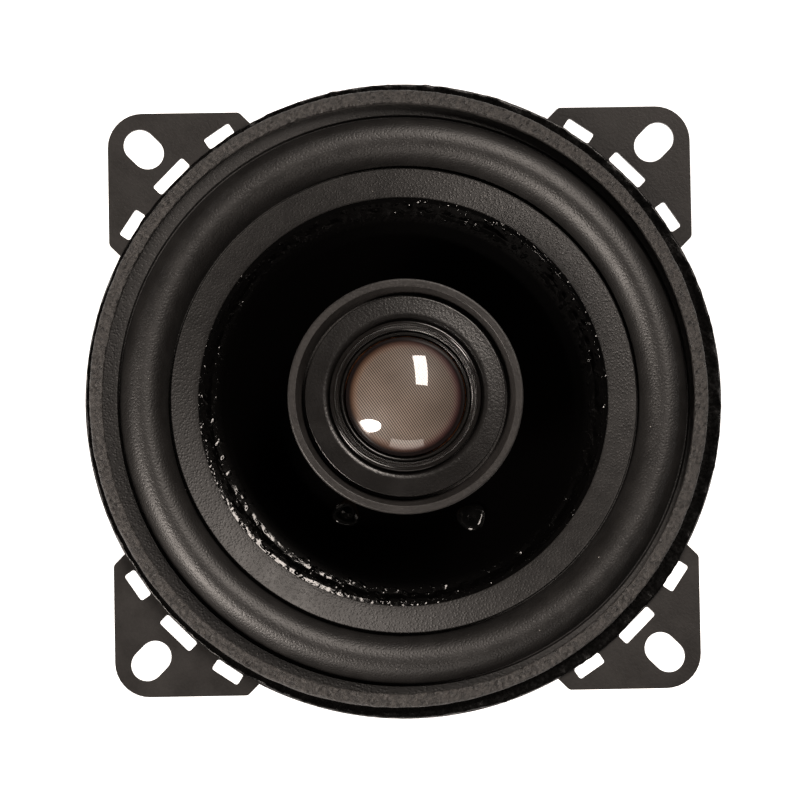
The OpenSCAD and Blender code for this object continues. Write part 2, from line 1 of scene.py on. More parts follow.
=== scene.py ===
"""Looks of a 4 inch coaxial car speaker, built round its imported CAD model.

Lengths are in millimetres until a mesh is made, and the listener is on +Z.
"""

import json
import math

import bmesh
import bpy
import numpy as np
from mathutils import Matrix, Vector


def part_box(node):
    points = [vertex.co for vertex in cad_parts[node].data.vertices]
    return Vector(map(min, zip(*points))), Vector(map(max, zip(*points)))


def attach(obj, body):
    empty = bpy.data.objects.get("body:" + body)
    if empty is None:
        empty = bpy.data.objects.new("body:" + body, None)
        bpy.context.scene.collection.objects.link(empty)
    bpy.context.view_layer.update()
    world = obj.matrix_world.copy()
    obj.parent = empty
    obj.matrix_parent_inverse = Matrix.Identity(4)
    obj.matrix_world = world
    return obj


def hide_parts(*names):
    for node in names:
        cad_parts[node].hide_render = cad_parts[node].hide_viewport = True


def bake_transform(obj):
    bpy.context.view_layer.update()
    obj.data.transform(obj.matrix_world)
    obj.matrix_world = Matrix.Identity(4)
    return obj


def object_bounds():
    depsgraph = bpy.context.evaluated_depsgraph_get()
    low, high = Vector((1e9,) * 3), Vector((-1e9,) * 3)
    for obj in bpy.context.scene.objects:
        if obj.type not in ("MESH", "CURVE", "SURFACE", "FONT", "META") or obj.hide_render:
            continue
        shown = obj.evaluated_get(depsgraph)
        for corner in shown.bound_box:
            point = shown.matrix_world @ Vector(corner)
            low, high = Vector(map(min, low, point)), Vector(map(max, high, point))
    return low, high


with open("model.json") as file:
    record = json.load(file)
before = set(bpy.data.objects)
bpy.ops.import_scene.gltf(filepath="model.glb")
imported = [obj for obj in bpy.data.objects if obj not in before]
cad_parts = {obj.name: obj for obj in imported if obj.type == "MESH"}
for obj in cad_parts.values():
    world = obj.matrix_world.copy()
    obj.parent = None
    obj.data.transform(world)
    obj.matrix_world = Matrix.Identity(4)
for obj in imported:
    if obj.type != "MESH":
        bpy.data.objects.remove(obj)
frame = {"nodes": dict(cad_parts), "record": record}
cad_low, cad_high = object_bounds()

MM = 0.001
TURN = 2 * math.pi
ROOT2 = math.sqrt(2)

# The photograph's right and upper sides, seen on the speaker's front
RIGHT = Vector((1, -1, 0)).normalized()
UP = Vector((1, 1, 0)).normalized()
FRONT = Vector((0, 0, 1))
WARM = (1.0, 0.895, 0.815)            # colour of the studio's light

BODY_OF = {n: body for body, nodes in frame["record"]["behaviour"]["bodies"].items() for n in nodes}


# ---------- sizes taken from the frame ----------

def size_of(node):
    """A round node's outer radius and its lowest and highest levels, in mm"""
    low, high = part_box(node)
    return (high.x - low.x) / 2 / MM, low.z / MM, high.z / MM


SHEET_T = 1.0                         # basket's steel
FLANGE_R = 50.5
SPIGOT_R, SPIGOT_L = 46.2, 5.0
WALL_SUM = SPIGOT_R + SPIGOT_L        # radius minus height along the slanted wall's outer face
SLANT_R, SLANT_Z = 40.2, -11.0        # middle of the slanted wall
SHELF_Z = -16.0                       # the spider is glued here
SEAT_Z = -24.0                        # the front plate is staked here
TERMINAL_TURN = math.radians(225)     # where the terminals are, round the axis
BOARD = (Matrix.Rotation(TERMINAL_TURN, 4, "Z") @ Matrix.Translation((SLANT_R, 0, SLANT_Z))
         @ Matrix.Rotation(math.radians(135), 4, "Y"))
TO_TERMINALS = Matrix.Rotation(TERMINAL_TURN, 4, "Z")
PAD_TOP, BOARD_T, BLADE_T = 0.5, 1.2, 0.8
TERMINAL_Y = 5               # each terminal's distance from the board's middle
STAKE_R = 20.5               # where the front plate's stakes are
STUD_HOLE_R = 3.02
BELT_R = 28.8                # lacquer grit lies on the cone from here to the surround

# Cone: an arc whose slope falls evenly from the neck to the edge
CONE_R, CONE_T = 37.0, 0.8
NECK_R, NECK_Z = 12.92, -13.4
NECK_SLOPE, EDGE_SLOPE = math.radians(39.2), math.radians(21.2)
ARC_R = (CONE_R - NECK_R) / (math.sin(NECK_SLOPE) - math.sin(EDGE_SLOPE))


def cone_z(r):
    """Height of the cone's face at a radius"""
    slope = np.arcsin(math.sin(NECK_SLOPE) - (np.asarray(r) - NECK_R) / ARC_R)
    return NECK_Z + ARC_R * (np.cos(slope) - math.cos(NECK_SLOPE))


# ---------- mesh tools ----------

def lumps(points, size, seed):
    """Smooth noise from -1 to 1 with lumps about as large as size"""
    table = np.random.default_rng(seed).uniform(-1, 1, 8192)
    scaled = points / size
    cell = np.floor(scaled).astype(np.int64)
    part = scaled - cell
    part = part * part * (3 - 2 * part)
    total = np.zeros(len(points))
    for corner in range(8):
        step = np.array([corner & 1, corner >> 1 & 1, corner >> 2 & 1])
        at = cell + step
        value = table[(at[:, 0] * 73856093 ^ at[:, 1] * 19349663 ^ at[:, 2] * 83492791) & 8191]
        total += value * np.prod(np.where(step, part, 1 - part), axis=1)
    return total


def rounded(corners, steps=4, hold=0.3):
    """A closed outline whose corners (x, y, fillet) are rounded; a corner (x, y) stays as it is.
    A point just past each end of a fillet keeps the flat face beside it flat."""
    out = []
    count = len(corners)
    for i, corner in enumerate(corners):
        here = Vector(corner[:2])
        if len(corner) < 3:
            out.append(tuple(here))
            continue
        back = Vector(corners[i - 1][:2]) - here
        ahead = Vector(corners[(i + 1) % count][:2]) - here
        half = back.angle(ahead) / 2
        room = min(back.length, ahead.length) * 0.45
        reach = min(corner[2] / math.tan(half), room)
        radius = reach * math.tan(half)
        back.normalize()
        ahead.normalize()
        middle = here + (back + ahead).normalized() * radius / math.sin(half)
        start, end = here + back * reach - middle, here + ahead * reach - middle
        turn = start.angle_signed(end)
        bend = [middle + Matrix.Rotation(-turn * k / steps, 2) @ start for k in range(steps + 1)]
        extra = min(hold * radius, room - reach) if room > reach else 0
        if extra > 1e-4:
            bend = [here + back * (reach + extra), *bend, here + ahead * (reach + extra)]
        out += [tuple(p) for p in bend]
    return out


def box_outline(x, y):
    """A rectangle from its limits in X and Y"""
    return [(x[0], y[0]), (x[1], y[0]), (x[1], y[1]), (x[0], y[1])]


def rounded_box(x, y, fillet, steps=4, hold=0.3):
    return rounded([(*p, fillet) for p in box_outline(x, y)], steps, hold)


def ring_outline(inner, outer, low, high, fillets, steps=4):
    """A ring's cross-section, with a fillet for each corner from the lower inner one on"""
    corners = box_outline((inner, outer), (low, high))
    return rounded([(*p, fillet) for p, fillet in zip(corners, fillets)], steps)


def finely(outline, step):
    """The same closed outline with points no further apart than step"""
    out = []
    for a, b in zip(outline, outline[1:] + outline[:1]):
        pieces = max(1, math.ceil(math.dist(a, b) / step))
        out += [(a[0] + (b[0] - a[0]) * k / pieces, a[1] + (b[1] - a[1]) * k / pieces)
                for k in range(pieces)]
    return out


def arc(middle, radii, start, end, steps):
    """Points on an ellipse's arc; angles in degrees"""
    turns = [math.radians(start + (end - start) * k / steps) for k in range(steps + 1)]
    return [(middle[0] + radii[0] * math.cos(t), middle[1] + radii[1] * math.sin(t)) for t in turns]


def in_scene(name, data):
    made = bpy.data.objects.new(name, data)
    bpy.context.scene.collection.objects.link(made)
    return made


def new_object(name, mesh, *materials):
    """An object in the scene, smooth all over"""
    piece = in_scene(name, mesh)
    for m in materials:
        mesh.materials.append(m)
    mesh.polygons.foreach_set("use_smooth", [True] * len(mesh.polygons))
    return piece


WELD = 1e-4 * MM             # points this near each other are one point


def mesh_of(name, points, faces):
    """A mesh from points in mm, welded, with its faces turned outwards"""
    mesh = bpy.data.meshes.new(name)
    mesh.from_pydata((np.asarray(points) * MM).tolist(), [], faces)
    tidy = bmesh.new()
    tidy.from_mesh(mesh)
    bmesh.ops.remove_doubles(tidy, verts=tidy.verts, dist=WELD)
    bmesh.ops.dissolve_degenerate(tidy, edges=tidy.edges, dist=WELD)
    bmesh.ops.recalc_face_normals(tidy, faces=tidy.faces)
    tidy.to_mesh(mesh)
    tidy.free()
    return mesh


def lathe_points(outline, around):
    """An outline of (radius, height) turned round Z, as points in rows of one angle each"""
    outline = np.asarray(outline, float)
    turns = np.arange(around) * TURN / around
    x = np.outer(np.cos(turns), outline[:, 0])
    y = np.outer(np.sin(turns), outline[:, 0])
    z = np.broadcast_to(outline[:, 1], x.shape)
    return np.stack([x, y, z], axis=-1).reshape(-1, 3)


def grid_faces(rows, columns, closed_rows=True, closed_columns=True):
    """Quads between neighbouring points of a grid, which may close on itself both ways"""
    i = np.arange(rows if closed_rows else rows - 1)[:, None]
    j = np.arange(columns if closed_columns else columns - 1)[None, :]
    i1, j1 = (i + 1) % rows, (j + 1) % columns
    quads = np.stack(np.broadcast_arrays(i * columns + j, i1 * columns + j,
                                         i1 * columns + j1, i * columns + j1), axis=-1)
    return quads.reshape(-1, 4).tolist()


def lathe(name, outline, material, around=256, change=None):
    """A solid of revolution. change, if given, moves its points before the mesh is made."""
    points = lathe_points(outline, around)
    if change:
        points = change(points)
    return new_object(name, mesh_of(name, points, grid_faces(around, len(outline))), material)


def radii(points):
    return np.hypot(points[:, 0], points[:, 1])


def radially(points, amount):
    """Points moved away from the axis by that many mm each"""
    r = radii(points)
    out = points.copy()
    out[:, :2] *= ((r + amount) / np.maximum(r, 1e-6))[:, None]
    return out


def place(mesh, matrix):
    """Moves a mesh whose points are in metres by a matrix in mm"""
    moved = matrix.copy()
    moved.translation = matrix.translation * MM
    mesh.transform(moved)


def bake_modifiers(piece):
    """Applies the piece's modifiers to its mesh"""
    graph = bpy.context.evaluated_depsgraph_get()
    mesh = bpy.data.meshes.new_from_object(piece.evaluated_get(graph), depsgraph=graph)
    piece.modifiers.clear()
    piece.data = mesh


def cut(piece, tool, operation="DIFFERENCE"):
    """Cuts a tool out of a piece, or joins it on, and removes the tool"""
    boolean = piece.modifiers.new("cut", "BOOLEAN")
    boolean.operation = operation
    boolean.object = tool
    boolean.solver = "EXACT"
    bpy.context.view_layer.update()
    bake_modifiers(piece)
    bpy.data.objects.remove(tool)


def soften_edges(piece, width, angle=35):
    """Rounds the piece's sharp edges"""
    bevel = piece.modifiers.new("soft edges", "BEVEL")
    bevel.width = width * MM
    bevel.segments = 2
    bevel.limit_method = "ANGLE"
    bevel.angle_limit = math.radians(angle)
    bevel.harden_normals = True


def prism(name, outline, low, high, *materials):
    """A straight solid on an outline in X and Y, flat all over"""
    n = len(outline)
    points = [(x, y, low) for x, y in outline] + [(x, y, high) for x, y in outline]
    walls = [(i, (i + 1) % n, n + (i + 1) % n, n + i) for i in range(n)]
    mesh = mesh_of(name, points, walls + [tuple(range(n)), tuple(range(n, 2 * n))])
    piece = new_object(name, mesh, *materials)
    mesh.polygons.foreach_set("use_smooth", [False] * len(mesh.polygons))
    return piece


def round_tool(radius, low, high):
    """A cylinder to cut holes with"""
    return prism("tool", arc((0, 0), (radius, radius), 0, 360 * 47 / 48, 47), low, high)


def join(name, pieces, material):
    """One object from several"""
    joined = bmesh.new()
    for piece in pieces:
        joined.from_mesh(piece.data)
    mesh = bpy.data.meshes.new(name)
    joined.to_mesh(mesh)
    joined.free()
    for piece in pieces:
        bpy.data.objects.remove(piece)
    return new_object(name, mesh, material)


ROUTE_STEP = 0.35


def along(route):
    """A smooth line through a route's points, as evenly spaced points"""
    p = np.array([route[0], *route, route[-1]], float)
    line = []
    for a, b, c, d in zip(p, p[1:], p[2:], p[3:]):
        steps = max(2, int(np.linalg.norm(c - b) / ROUTE_STEP))
        t = (np.arange(steps) / steps)[:, None]
        line.append(((2 * b) + (c - a) * t + (2 * a - 5 * b + 4 * c - d) * t * t
                     + (3 * b - a - 3 * c + d) * t ** 3) / 2)
    return np.vstack([*line, p[-1:]])


def tube(name, route, diameter, material, strands=0, twist=0.0):
    """A wire along a route in the terminals' frame. With strands, their rounded backs wind round
    it once every twist mm."""
    line = along(route)
    ahead = np.gradient(line, axis=0)
    ahead /= np.linalg.norm(ahead, axis=1)[:, None]
    across = np.cross(ahead, [0.0, 1.0, 0.0])
    across /= np.maximum(np.linalg.norm(across, axis=1), 1e-9)[:, None]
    over = np.cross(across, ahead)
    sides = 8 * strands if strands else 14
    turns = np.arange(sides) * TURN / sides
    run = np.concatenate([[0], np.cumsum(np.linalg.norm(np.diff(line, axis=0), axis=1))])
    radius = np.full((len(line), sides), diameter / 2)
    if strands:
        ridge = np.abs(np.sin((turns[None, :] + TURN * run[:, None] / twist) * strands / 2))
        radius *= 0.82 + 0.18 * ridge
    points = (line[:, None, :] + radius[..., None]
              * (np.cos(turns)[None, :, None] * across[:, None, :]
                 + np.sin(turns)[None, :, None] * over[:, None, :])).reshape(-1, 3)
    last = (len(line) - 1) * sides
    faces = grid_faces(len(line), sides, closed_rows=False)
    faces += [tuple(range(sides)), tuple(range(last, last + sides))]
    mesh = mesh_of(name, points, faces)
    place(mesh, TO_TERMINALS)
    return new_object(name, mesh, material)


# ---------- materials ----------

class Surface:
    """A material with a Principled shader, and short ways to add nodes to it.
    Textures use the object's own coordinates, which are metres in the speaker's frame."""

    def __init__(self, name, **sockets):
        self.material = bpy.data.materials.new(name)
        self.material.use_nodes = True
        self.nodes = self.material.node_tree.nodes
        self.links = self.material.node_tree.links
        self.shader = self.nodes["Principled BSDF"]
        self.place = self.nodes.new("ShaderNodeTexCoord").outputs["Object"]
        for socket, value in sockets.items():
            self.set(socket.replace("_", " "), value)

    def feed(self, socket, value):
        """Gives a socket a link, or a constant"""
        if isinstance(value, bpy.types.NodeSocket):
            self.links.new(value, socket)
        else:
            socket.default_value = (*value, 1.0) if socket.type == "RGBA" else value

    def set(self, socket, value):
        self.feed(self.shader.inputs[socket], value)

    def node(self, kind, settings=(), **inputs):
        """A new node. An input is given by its name, or by i and its number."""
        made = self.nodes.new(kind)
        for key, value in dict(settings).items():
            setattr(made, key, value)
        for key, value in inputs.items():
            self.feed(made.inputs[int(key[1:]) if key[1:].isdigit() else key], value)
        return made

    def math(self, operation, a, b=0.0):
        return self.node("ShaderNodeMath", {"operation": operation}, i0=a, i1=b).outputs[0]

    def times(self, a, b):
        return self.math("MULTIPLY", a, b)

    def sum(self, a, share_a, b, share_b):
        """Two values, each times its share, added up"""
        return self.math("ADD", self.times(a, share_a), self.times(b, share_b))

    def vector(self, operation, a, b=(0, 0, 0), output=0):
        made = self.node("ShaderNodeVectorMath", {"operation": operation}, i0=a, i1=b)
        return made.outputs[output]

    def stretched(self, x, y, z):
        """The surface's place with each axis scaled"""
        return self.vector("MULTIPLY", self.place, (x, y, z))

    def noise(self, size, detail=2.0, roughness=0.5, place=None):
        """Noise from 0 to 1 with features about size mm across"""
        return self.node("ShaderNodeTexNoise", Vector=place or self.place, Scale=1 / (size * MM),
                         Detail=detail, Roughness=roughness).outputs["Fac"]

    def cells(self, size):
        """Distance to the nearest of scattered points, about size mm apart"""
        return self.node("ShaderNodeTexVoronoi", Vector=self.place,
                         Scale=1 / (size * MM)).outputs["Distance"]

    def spread(self, value, low, high, start=0.3, end=0.7):
        """A value from start to end, stretched to run from low to high"""
        made = self.node("ShaderNodeMapRange", i0=value, i1=start, i2=end, i3=low, i4=high)
        return made.outputs[0]

    def blend(self, amount, a, b):
        """Colour a at 0 and b at 1"""
        return self.node("ShaderNodeMix", {"data_type": "RGBA"}, i0=amount, i6=a, i7=b).outputs[2]

    def shade(self, value, dark, light, start=0.3, end=0.7):
        """Base colour from dark to light. A number for dark is a share of light."""
        if not isinstance(dark, tuple):
            dark = tuple(c * dark for c in light)
        self.set("Base Color", self.blend(self.spread(value, 0, 1, start, end), dark, light))

    def roughen(self, value, roughness):
        self.set("Roughness", self.spread(value, *roughness))

    def relief(self, height, depth):
        """Relief of that depth in mm from a height of 0 to 1"""
        bump = self.node("ShaderNodeBump", Height=height, Distance=depth * MM, Strength=1.0)
        self.set("Normal", bump.outputs["Normal"])

    def radius(self):
        """Distance from the speaker's axis, in mm"""
        return self.times(self.vector("LENGTH", self.stretched(1, 1, 0), output=1), 1 / MM)

    def toward(self, direction):
        """How far the surface lies towards a direction, in mm"""
        return self.times(self.vector("DOT_PRODUCT", self.place, tuple(direction), 1), 1 / MM)

    def stripes(self, direction, pitch):
        """Rounded stripes from 0 to 1 across a direction"""
        wave = self.math("SINE", self.times(self.toward(direction), TURN / pitch))
        return self.spread(wave, 0, 1, -1, 1)


def grained(name, dark, light, grain, relief, roughness, speckle=0.0, coarse=None, **sockets):
    """A matt surface whose colour and relief vary with fine grain and broader patches"""
    s = Surface(name, **sockets)
    fine = s.noise(grain, 3.0, 0.6)
    broad = s.noise(coarse or grain * 14, 3.0, 0.55)
    s.shade(s.sum(fine, 0.6, broad, 0.4), dark, light, 0.36, 0.64)
    s.roughen(broad, roughness)
    height = fine
    if speckle:
        pits = s.spread(s.cells(grain * 2.2), 0, 1, 0.0, 0.55)
        height = s.sum(fine, 1 - speckle, pits, speckle)
    s.relief(height, relief)
    return s


def plated(name, colour, roughness):
    """Plated steel, with faint clouding and fine random scratches"""
    s = Surface(name, Metallic=1.0)
    s.shade(s.noise(3.5, 4.0, 0.6), 0.88, colour)
    s.roughen(s.noise(0.9, 5.0, 0.7), roughness)
    s.relief(s.noise(0.25, 2.0, 0.5, s.stretched(1, 0.12, 0.4)), 0.004)
    return s.material


def turned_metal(name, colour, roughness):
    """Plated steel with fine turning marks round the speaker's axis"""
    pitch = 0.35
    s = Surface(name, Metallic=1.0)
    ring = s.math("SINE", s.times(s.radius(), TURN / pitch))
    s.shade(s.noise(6.0, 3.0), 0.8, colour)
    s.roughen(s.noise(1.2, 4.0, 0.65), roughness)
    s.relief(s.math("ADD", s.times(ring, 0.35), s.noise(0.3, 3.0, 0.6)), 0.006)
    return s.material


def rubber():
    """Satin rubber with a few specks of dust"""
    s = grained("surround_rubber", (0.0040, 0.0036, 0.0034), (0.0105, 0.0096, 0.0090), 0.20, 0.062,
                (0.47, 0.53), speckle=0.6, coarse=3.0, Specular_IOR_Level=0.66)
    dust = s.spread(s.cells(1.6), 1, 0, 0.035, 0.06)
    rare = s.spread(s.noise(2.3, 0.0), 0, 1, 0.66, 0.68)
    colour = s.shader.inputs["Base Color"].links[0].from_socket
    s.set("Base Color", s.blend(s.times(dust, rare), colour, (0.35, 0.33, 0.31)))
    return s.material


def lacquer():
    """The cone's black gloss, smooth inside and gritty near its edge"""
    # The linked specular level keeps the middle's value for viewers that drop the link
    s = Surface("cone_lacquer", Base_Color=(0.0008, 0.0007, 0.0007), Specular_IOR_Level=0.10)
    r = s.radius()
    crust = s.spread(r, 0, 1, BELT_R, 30.4)
    s.set("Specular IOR Level", s.spread(crust, 0.10, 0.60, 0, 1))
    s.set("Roughness", s.spread(crust, 0.12, 0.13, 0, 1))
    grit = s.spread(s.noise(0.42, 2.0, 0.5), 0, 1, 0.62, 0.80)
    soft = s.times(s.noise(1.3, 3.0, 0.5), 0.05)
    s.relief(s.math("ADD", soft, s.times(grit, crust)), 0.02)
    return s.material


def gloss_black(name, colour, roughness, ripple, size, shine=0.5):
    """Glossy black with ripples about size mm across"""
    s = Surface(name, Specular_IOR_Level=shine)
    s.shade(s.noise(size * 3, 2.0), 0.6, colour)
    wave = s.noise(size, 3.0)
    s.roughen(wave, roughness)
    s.relief(wave, ripple)
    return s.material


def dome_weave():
    """Fine twill under a clear gloss coat. Its rim has a painted reflection, brown on the left and
    purple on the right, and painted shade that darkens it to near black at the ring.
    """
    warp = (0.82 * RIGHT + 0.57 * UP).normalized()
    weft = (-0.57 * RIGHT + 0.82 * UP).normalized()
    # Sockets that are linked below keep the middle's values for viewers that drop the links
    s = Surface("dome_weave", Roughness=0.5, Coat_IOR=1.7, Coat_Weight=1.0, Coat_Roughness=0.03,
                Specular_IOR_Level=0.3)
    threads = s.sum(s.stripes(warp, 0.35), 0.8, s.stripes(weft, 0.35), 0.2)
    cloud = s.noise(6.0, 2.0)
    light = s.blend(s.spread(cloud, 0, 1), (0.19, 0.150, 0.124), (0.28, 0.222, 0.184))
    cloth = s.blend(threads, (0.004, 0.003, 0.002), light)
    r = s.radius()
    # Painted reflection: near the rim the base colour turns brown on the left and purple on the
    # right, standing in for the coat's reflections.
    side = s.spread(s.toward(RIGHT), 0, 1, -7, 7)
    painted_rim_reflection = s.blend(side, (0.125, 0.062, 0.032), (0.085, 0.030, 0.034))
    rim = s.spread(r, 0, 1, 7.4, 8.5)
    # Painted shade: the base colour darkens to near black at the rim, where the dome meets the ring.
    dark = s.spread(r, 0, 1, 7.9, 8.9)
    s.set("Coat Weight", s.spread(r, 1.0, 0.08, 8.0, 8.6))
    s.set("Coat Roughness", s.spread(r, 0.03, 0.30, 8.0, 8.6))
    s.set("Specular IOR Level", s.spread(r, 0.3, 0.04, 7.9, 8.6))
    colour = s.blend(s.times(rim, 0.8), cloth, painted_rim_reflection)
    s.set("Base Color", s.blend(dark, colour, (0.006, 0.004, 0.004)))
    s.relief(threads, 0.02)
    return s.material


def cloth_of_spider():
    """Coarse plain weave"""
    s = Surface("spider_weave", Roughness=0.75, Specular_IOR_Level=0.3)
    threads = s.math("MAXIMUM", s.stripes((1, 0, 0), 0.55), s.stripes((0, 1, 0), 0.55))
    s.shade(threads, (0.10, 0.06, 0.02), (0.42, 0.29, 0.12), 0.3, 1)
    s.relief(threads, 0.06)
    return s.material


def laminate():
    """Brown board with a grain along it"""
    s = Surface("board_laminate", Specular_IOR_Level=0.4)
    grain = s.noise(0.5, 5.0, 0.65, s.stretched(1, 1, 0.35))
    s.shade(grain, (0.11, 0.045, 0.018), (0.20, 0.09, 0.035))
    s.roughen(grain, (0.42, 0.58))
    s.relief(grain, 0.01)
    return s.material


def coloured_plastic(name, colour, roughness):
    return grained(name, 0.75, colour, 0.3, 0.006, roughness).material


def copper_wire(name, colour):
    s = Surface(name, Metallic=1.0)
    tone = s.noise(0.8, 3.0, 0.6)
    s.shade(tone, 0.65, colour)
    s.roughen(tone, (0.25, 0.4))
    return s.material


# ---------- camera, light and floor ----------

def look(back, up):
    """A rotation whose -Z looks against back, with up above"""
    z = back.normalized()
    x = up.cross(z).normalized()
    return Matrix((x, z.cross(x), z)).transposed().to_quaternion()


def make_camera():
    """Long lens, leaning 4.5 degrees off the axis to the lower left, rolled 1 degree"""
    lean, roll = math.radians(4.54), math.radians(1.04)
    aside = -(0.39 * RIGHT + 0.92 * UP).normalized()
    back = math.sin(lean) * aside + math.cos(lean) * FRONT
    data = bpy.data.cameras.new("camera")
    data.sensor_width = 36
    data.lens = 254.8
    data.clip_end = 20
    camera = in_scene("camera", data)
    aim, distance = (-0.574 * RIGHT + 0.123 * UP) * MM, 0.9
    camera.location = aim + back * distance
    camera.rotation_mode = "QUATERNION"
    camera.rotation_quaternion = look(back, math.cos(roll) * UP + math.sin(roll) * RIGHT)
    bpy.context.scene.camera = camera


def softbox(name, side, off_axis, distance, size, radiance, tilt=0, shape="RECTANGLE"):
    """A lamp towards a side (right, up) of the photograph, that many degrees off the speaker's
    axis. Its width and height are what they would be at 1 m, and it is turned by tilt degrees."""
    lamp = bpy.data.lights.new(name, "AREA")
    lamp.shape = shape
    lamp.color = WARM
    lamp.size, lamp.size_y = size[0] * distance, size[1] * distance
    lamp.energy = radiance * math.pi * (size[0] * distance) * (size[1] * distance)
    aside = (side[0] * RIGHT + side[1] * UP).normalized()
    angle = math.radians(off_axis)
    back = math.sin(angle) * aside + math.cos(angle) * FRONT
    piece = in_scene(name, lamp)
    piece.location = back * distance
    piece.rotation_mode = "QUATERNION"
    piece.rotation_quaternion = look(back, Matrix.Rotation(math.radians(tilt), 3, FRONT) @ UP)


def make_studio():
    """Three lamps, a faint light all round, and a white backdrop and floor"""
    softbox("key", side=(0.361, 0.603), off_axis=44.7, distance=2.0, size=(0.28, 0.74),
            radiance=16, tilt=-8)
    softbox("fill", side=(-0.70, -0.52), off_axis=60, distance=0.6, size=(0.54, 0.28),
            radiance=28, tilt=-14, shape="ELLIPSE")
    softbox("low", side=(0.04, -1), off_axis=66, distance=0.9, size=(0.70, 0.32), radiance=2.3)
    world = bpy.data.worlds.new("studio")
    bpy.context.scene.world = world
    world.use_nodes = True
    nodes, links = world.node_tree.nodes, world.node_tree.links
    air = nodes["Background"]
    air.inputs["Color"].default_value = (*WARM, 1)
    air.inputs["Strength"].default_value = 0.03
    backdrop = nodes.new("ShaderNodeBackground")
    backdrop.inputs["Color"].default_value = (1, 1, 1, 1)
    backdrop.inputs["Strength"].default_value = 0.95
    seen = nodes.new("ShaderNodeLightPath").outputs["Is Camera Ray"]
    mix = nodes.new("ShaderNodeMixShader")
    links.new(seen, mix.inputs[0])
    links.new(air.outputs[0], mix.inputs[1])
    links.new(backdrop.outputs[0], mix.inputs[2])
    links.new(mix.outputs[0], nodes["World Output"].inputs[0])
    floor_mesh = bpy.data.meshes.new("floor")
    corners = [(x, y, cad_low.z) for x, y in box_outline((-3.0, 3.0), (-3.0, 3.0))]
    floor_mesh.from_pydata(corners, [], [range(4)])
    paper = Surface("floor_paper", Roughness=0.9, Specular_IOR_Level=0.2,
                    Emission_Color=(1.0, 1.0, 1.0), Emission_Strength=0.75)
    tone = paper.noise(40.0, 3.0)
    paper.set("Base Color", paper.blend(tone, (0.86, 0.86, 0.86), (0.90, 0.90, 0.90)))
    new_object("floor", floor_mesh, paper.material)
    bpy.context.scene.view_settings.view_transform = "Standard"


# ---------- putting pieces in the frame ----------

def stands_for(piece, node):
    """The piece replaces a CAD node and rides on its body"""
    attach(piece, BODY_OF[node])
    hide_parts(node)
    return piece


def turned_piece(node, name, outline, material, around=256, change=None):
    """A solid of revolution that stands for a CAD node"""
    return stands_for(lathe(name, outline, material, around, change), node)


def blend_by_radius(piece, node):
    """Hides the CAD node that the piece takes the place of. The piece's points are laid on X at
    their own radius while its transform is applied, then put back as they were."""
    mesh = piece.data
    points = np.zeros(len(mesh.vertices) * 3, np.float32)
    mesh.vertices.foreach_get("co", points)
    xyz = points.reshape(-1, 3)
    flat = np.zeros_like(xyz)
    flat[:, 0] = radii(xyz)
    mesh.vertices.foreach_set("co", flat.ravel())
    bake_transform(piece)
    mesh.vertices.foreach_set("co", points)
    mesh.update()
    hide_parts(node)


# ---------- basket ----------

AROUND = 288                 # points round the basket, divisible by 4 windows
PLATE_R = 47.4               # radius where the flat flange meets the pressed bowl
EAR_CORNER, EAR_HALF_W, EAR_CORNER_R, NOTCH_R = 65.6, 14.8, 5.5, 1.0
SLOT_R, SLOT_L, SLOT_W = 57.5, 6.9, 5.1
BREAKOFF_R, BREAKOFF_W = 51.35, 1.9
WINDOW_HALF = 23 / 360 * TURN * SLANT_R
WINDOW_H, WINDOW_END = 5.0, 4.6
PATCH_HALF_H = 7.0           # half of the slanted wall's part that is meshed round the windows


def turned(points, degrees):
    c, s = math.cos(math.radians(degrees)), math.sin(math.radians(degrees))
    return [(x * c - y * s, x * s + y * c) for x, y in points]


def flange_outline():
    """Round flange with four ears, anticlockwise"""
    side_x = math.sqrt(FLANGE_R ** 2 - EAR_HALF_W ** 2)
    corner = EAR_CORNER - EAR_HALF_W
    free = math.degrees(math.atan2(EAR_HALF_W, side_x))
    ear = rounded([(side_x, -EAR_HALF_W), (corner, -EAR_HALF_W, NOTCH_R),
                   (EAR_CORNER, 0, EAR_CORNER_R), (corner, EAR_HALF_W, NOTCH_R),
                   (side_x, EAR_HALF_W)], steps=9)
    rim = arc((0, 0), (FLANGE_R, FLANGE_R), free + 1.5, 90 - free - 1.5, 36)
    return [p for a in (0, 90, 180, 270) for p in turned(ear + rim, a)]


def ear_holes():
    """Outlines of one ear's mounting slot and its three break-off slots"""
    half = (SLOT_L - SLOT_W) / 2
    slot = [(SLOT_R + half + x, y) for x, y in arc((0, 0), (SLOT_W / 2,) * 2, -90, 90, 18)]
    slot += [(SLOT_R - half + x, y) for x, y in arc((0, 0), (SLOT_W / 2,) * 2, 90, 270, 18)]
    holes = [slot]
    for turn, length in ((0, 6.6), (-11.1, 4.8), (11.1, 4.8)):
        x = (BREAKOFF_R - BREAKOFF_W / 2, BREAKOFF_R + BREAKOFF_W / 2)
        holes.append(turned(rounded_box(x, (-length / 2, length / 2), 0.4, hold=0), turn))
    return holes


def window_ring(share, across, up):
    """Point a share of the way from a window's edge to its patch's border, as (along, up)"""
    u, v = across * math.pi / 4 * SLANT_R, up * PATCH_HALF_H
    if abs(v) * WINDOW_HALF >= abs(u) * WINDOW_H:
        scale = WINDOW_H / abs(v)
    else:
        a = (u / WINDOW_END) ** 2 + (v / WINDOW_H) ** 2
        b = WINDOW_HALF * abs(u) / WINDOW_END ** 2
        scale = (b + math.sqrt(b * b - a * ((WINDOW_HALF / WINDOW_END) ** 2 - 1))) / a
    reach = scale + (1 - scale) * share
    return u * reach, v * reach


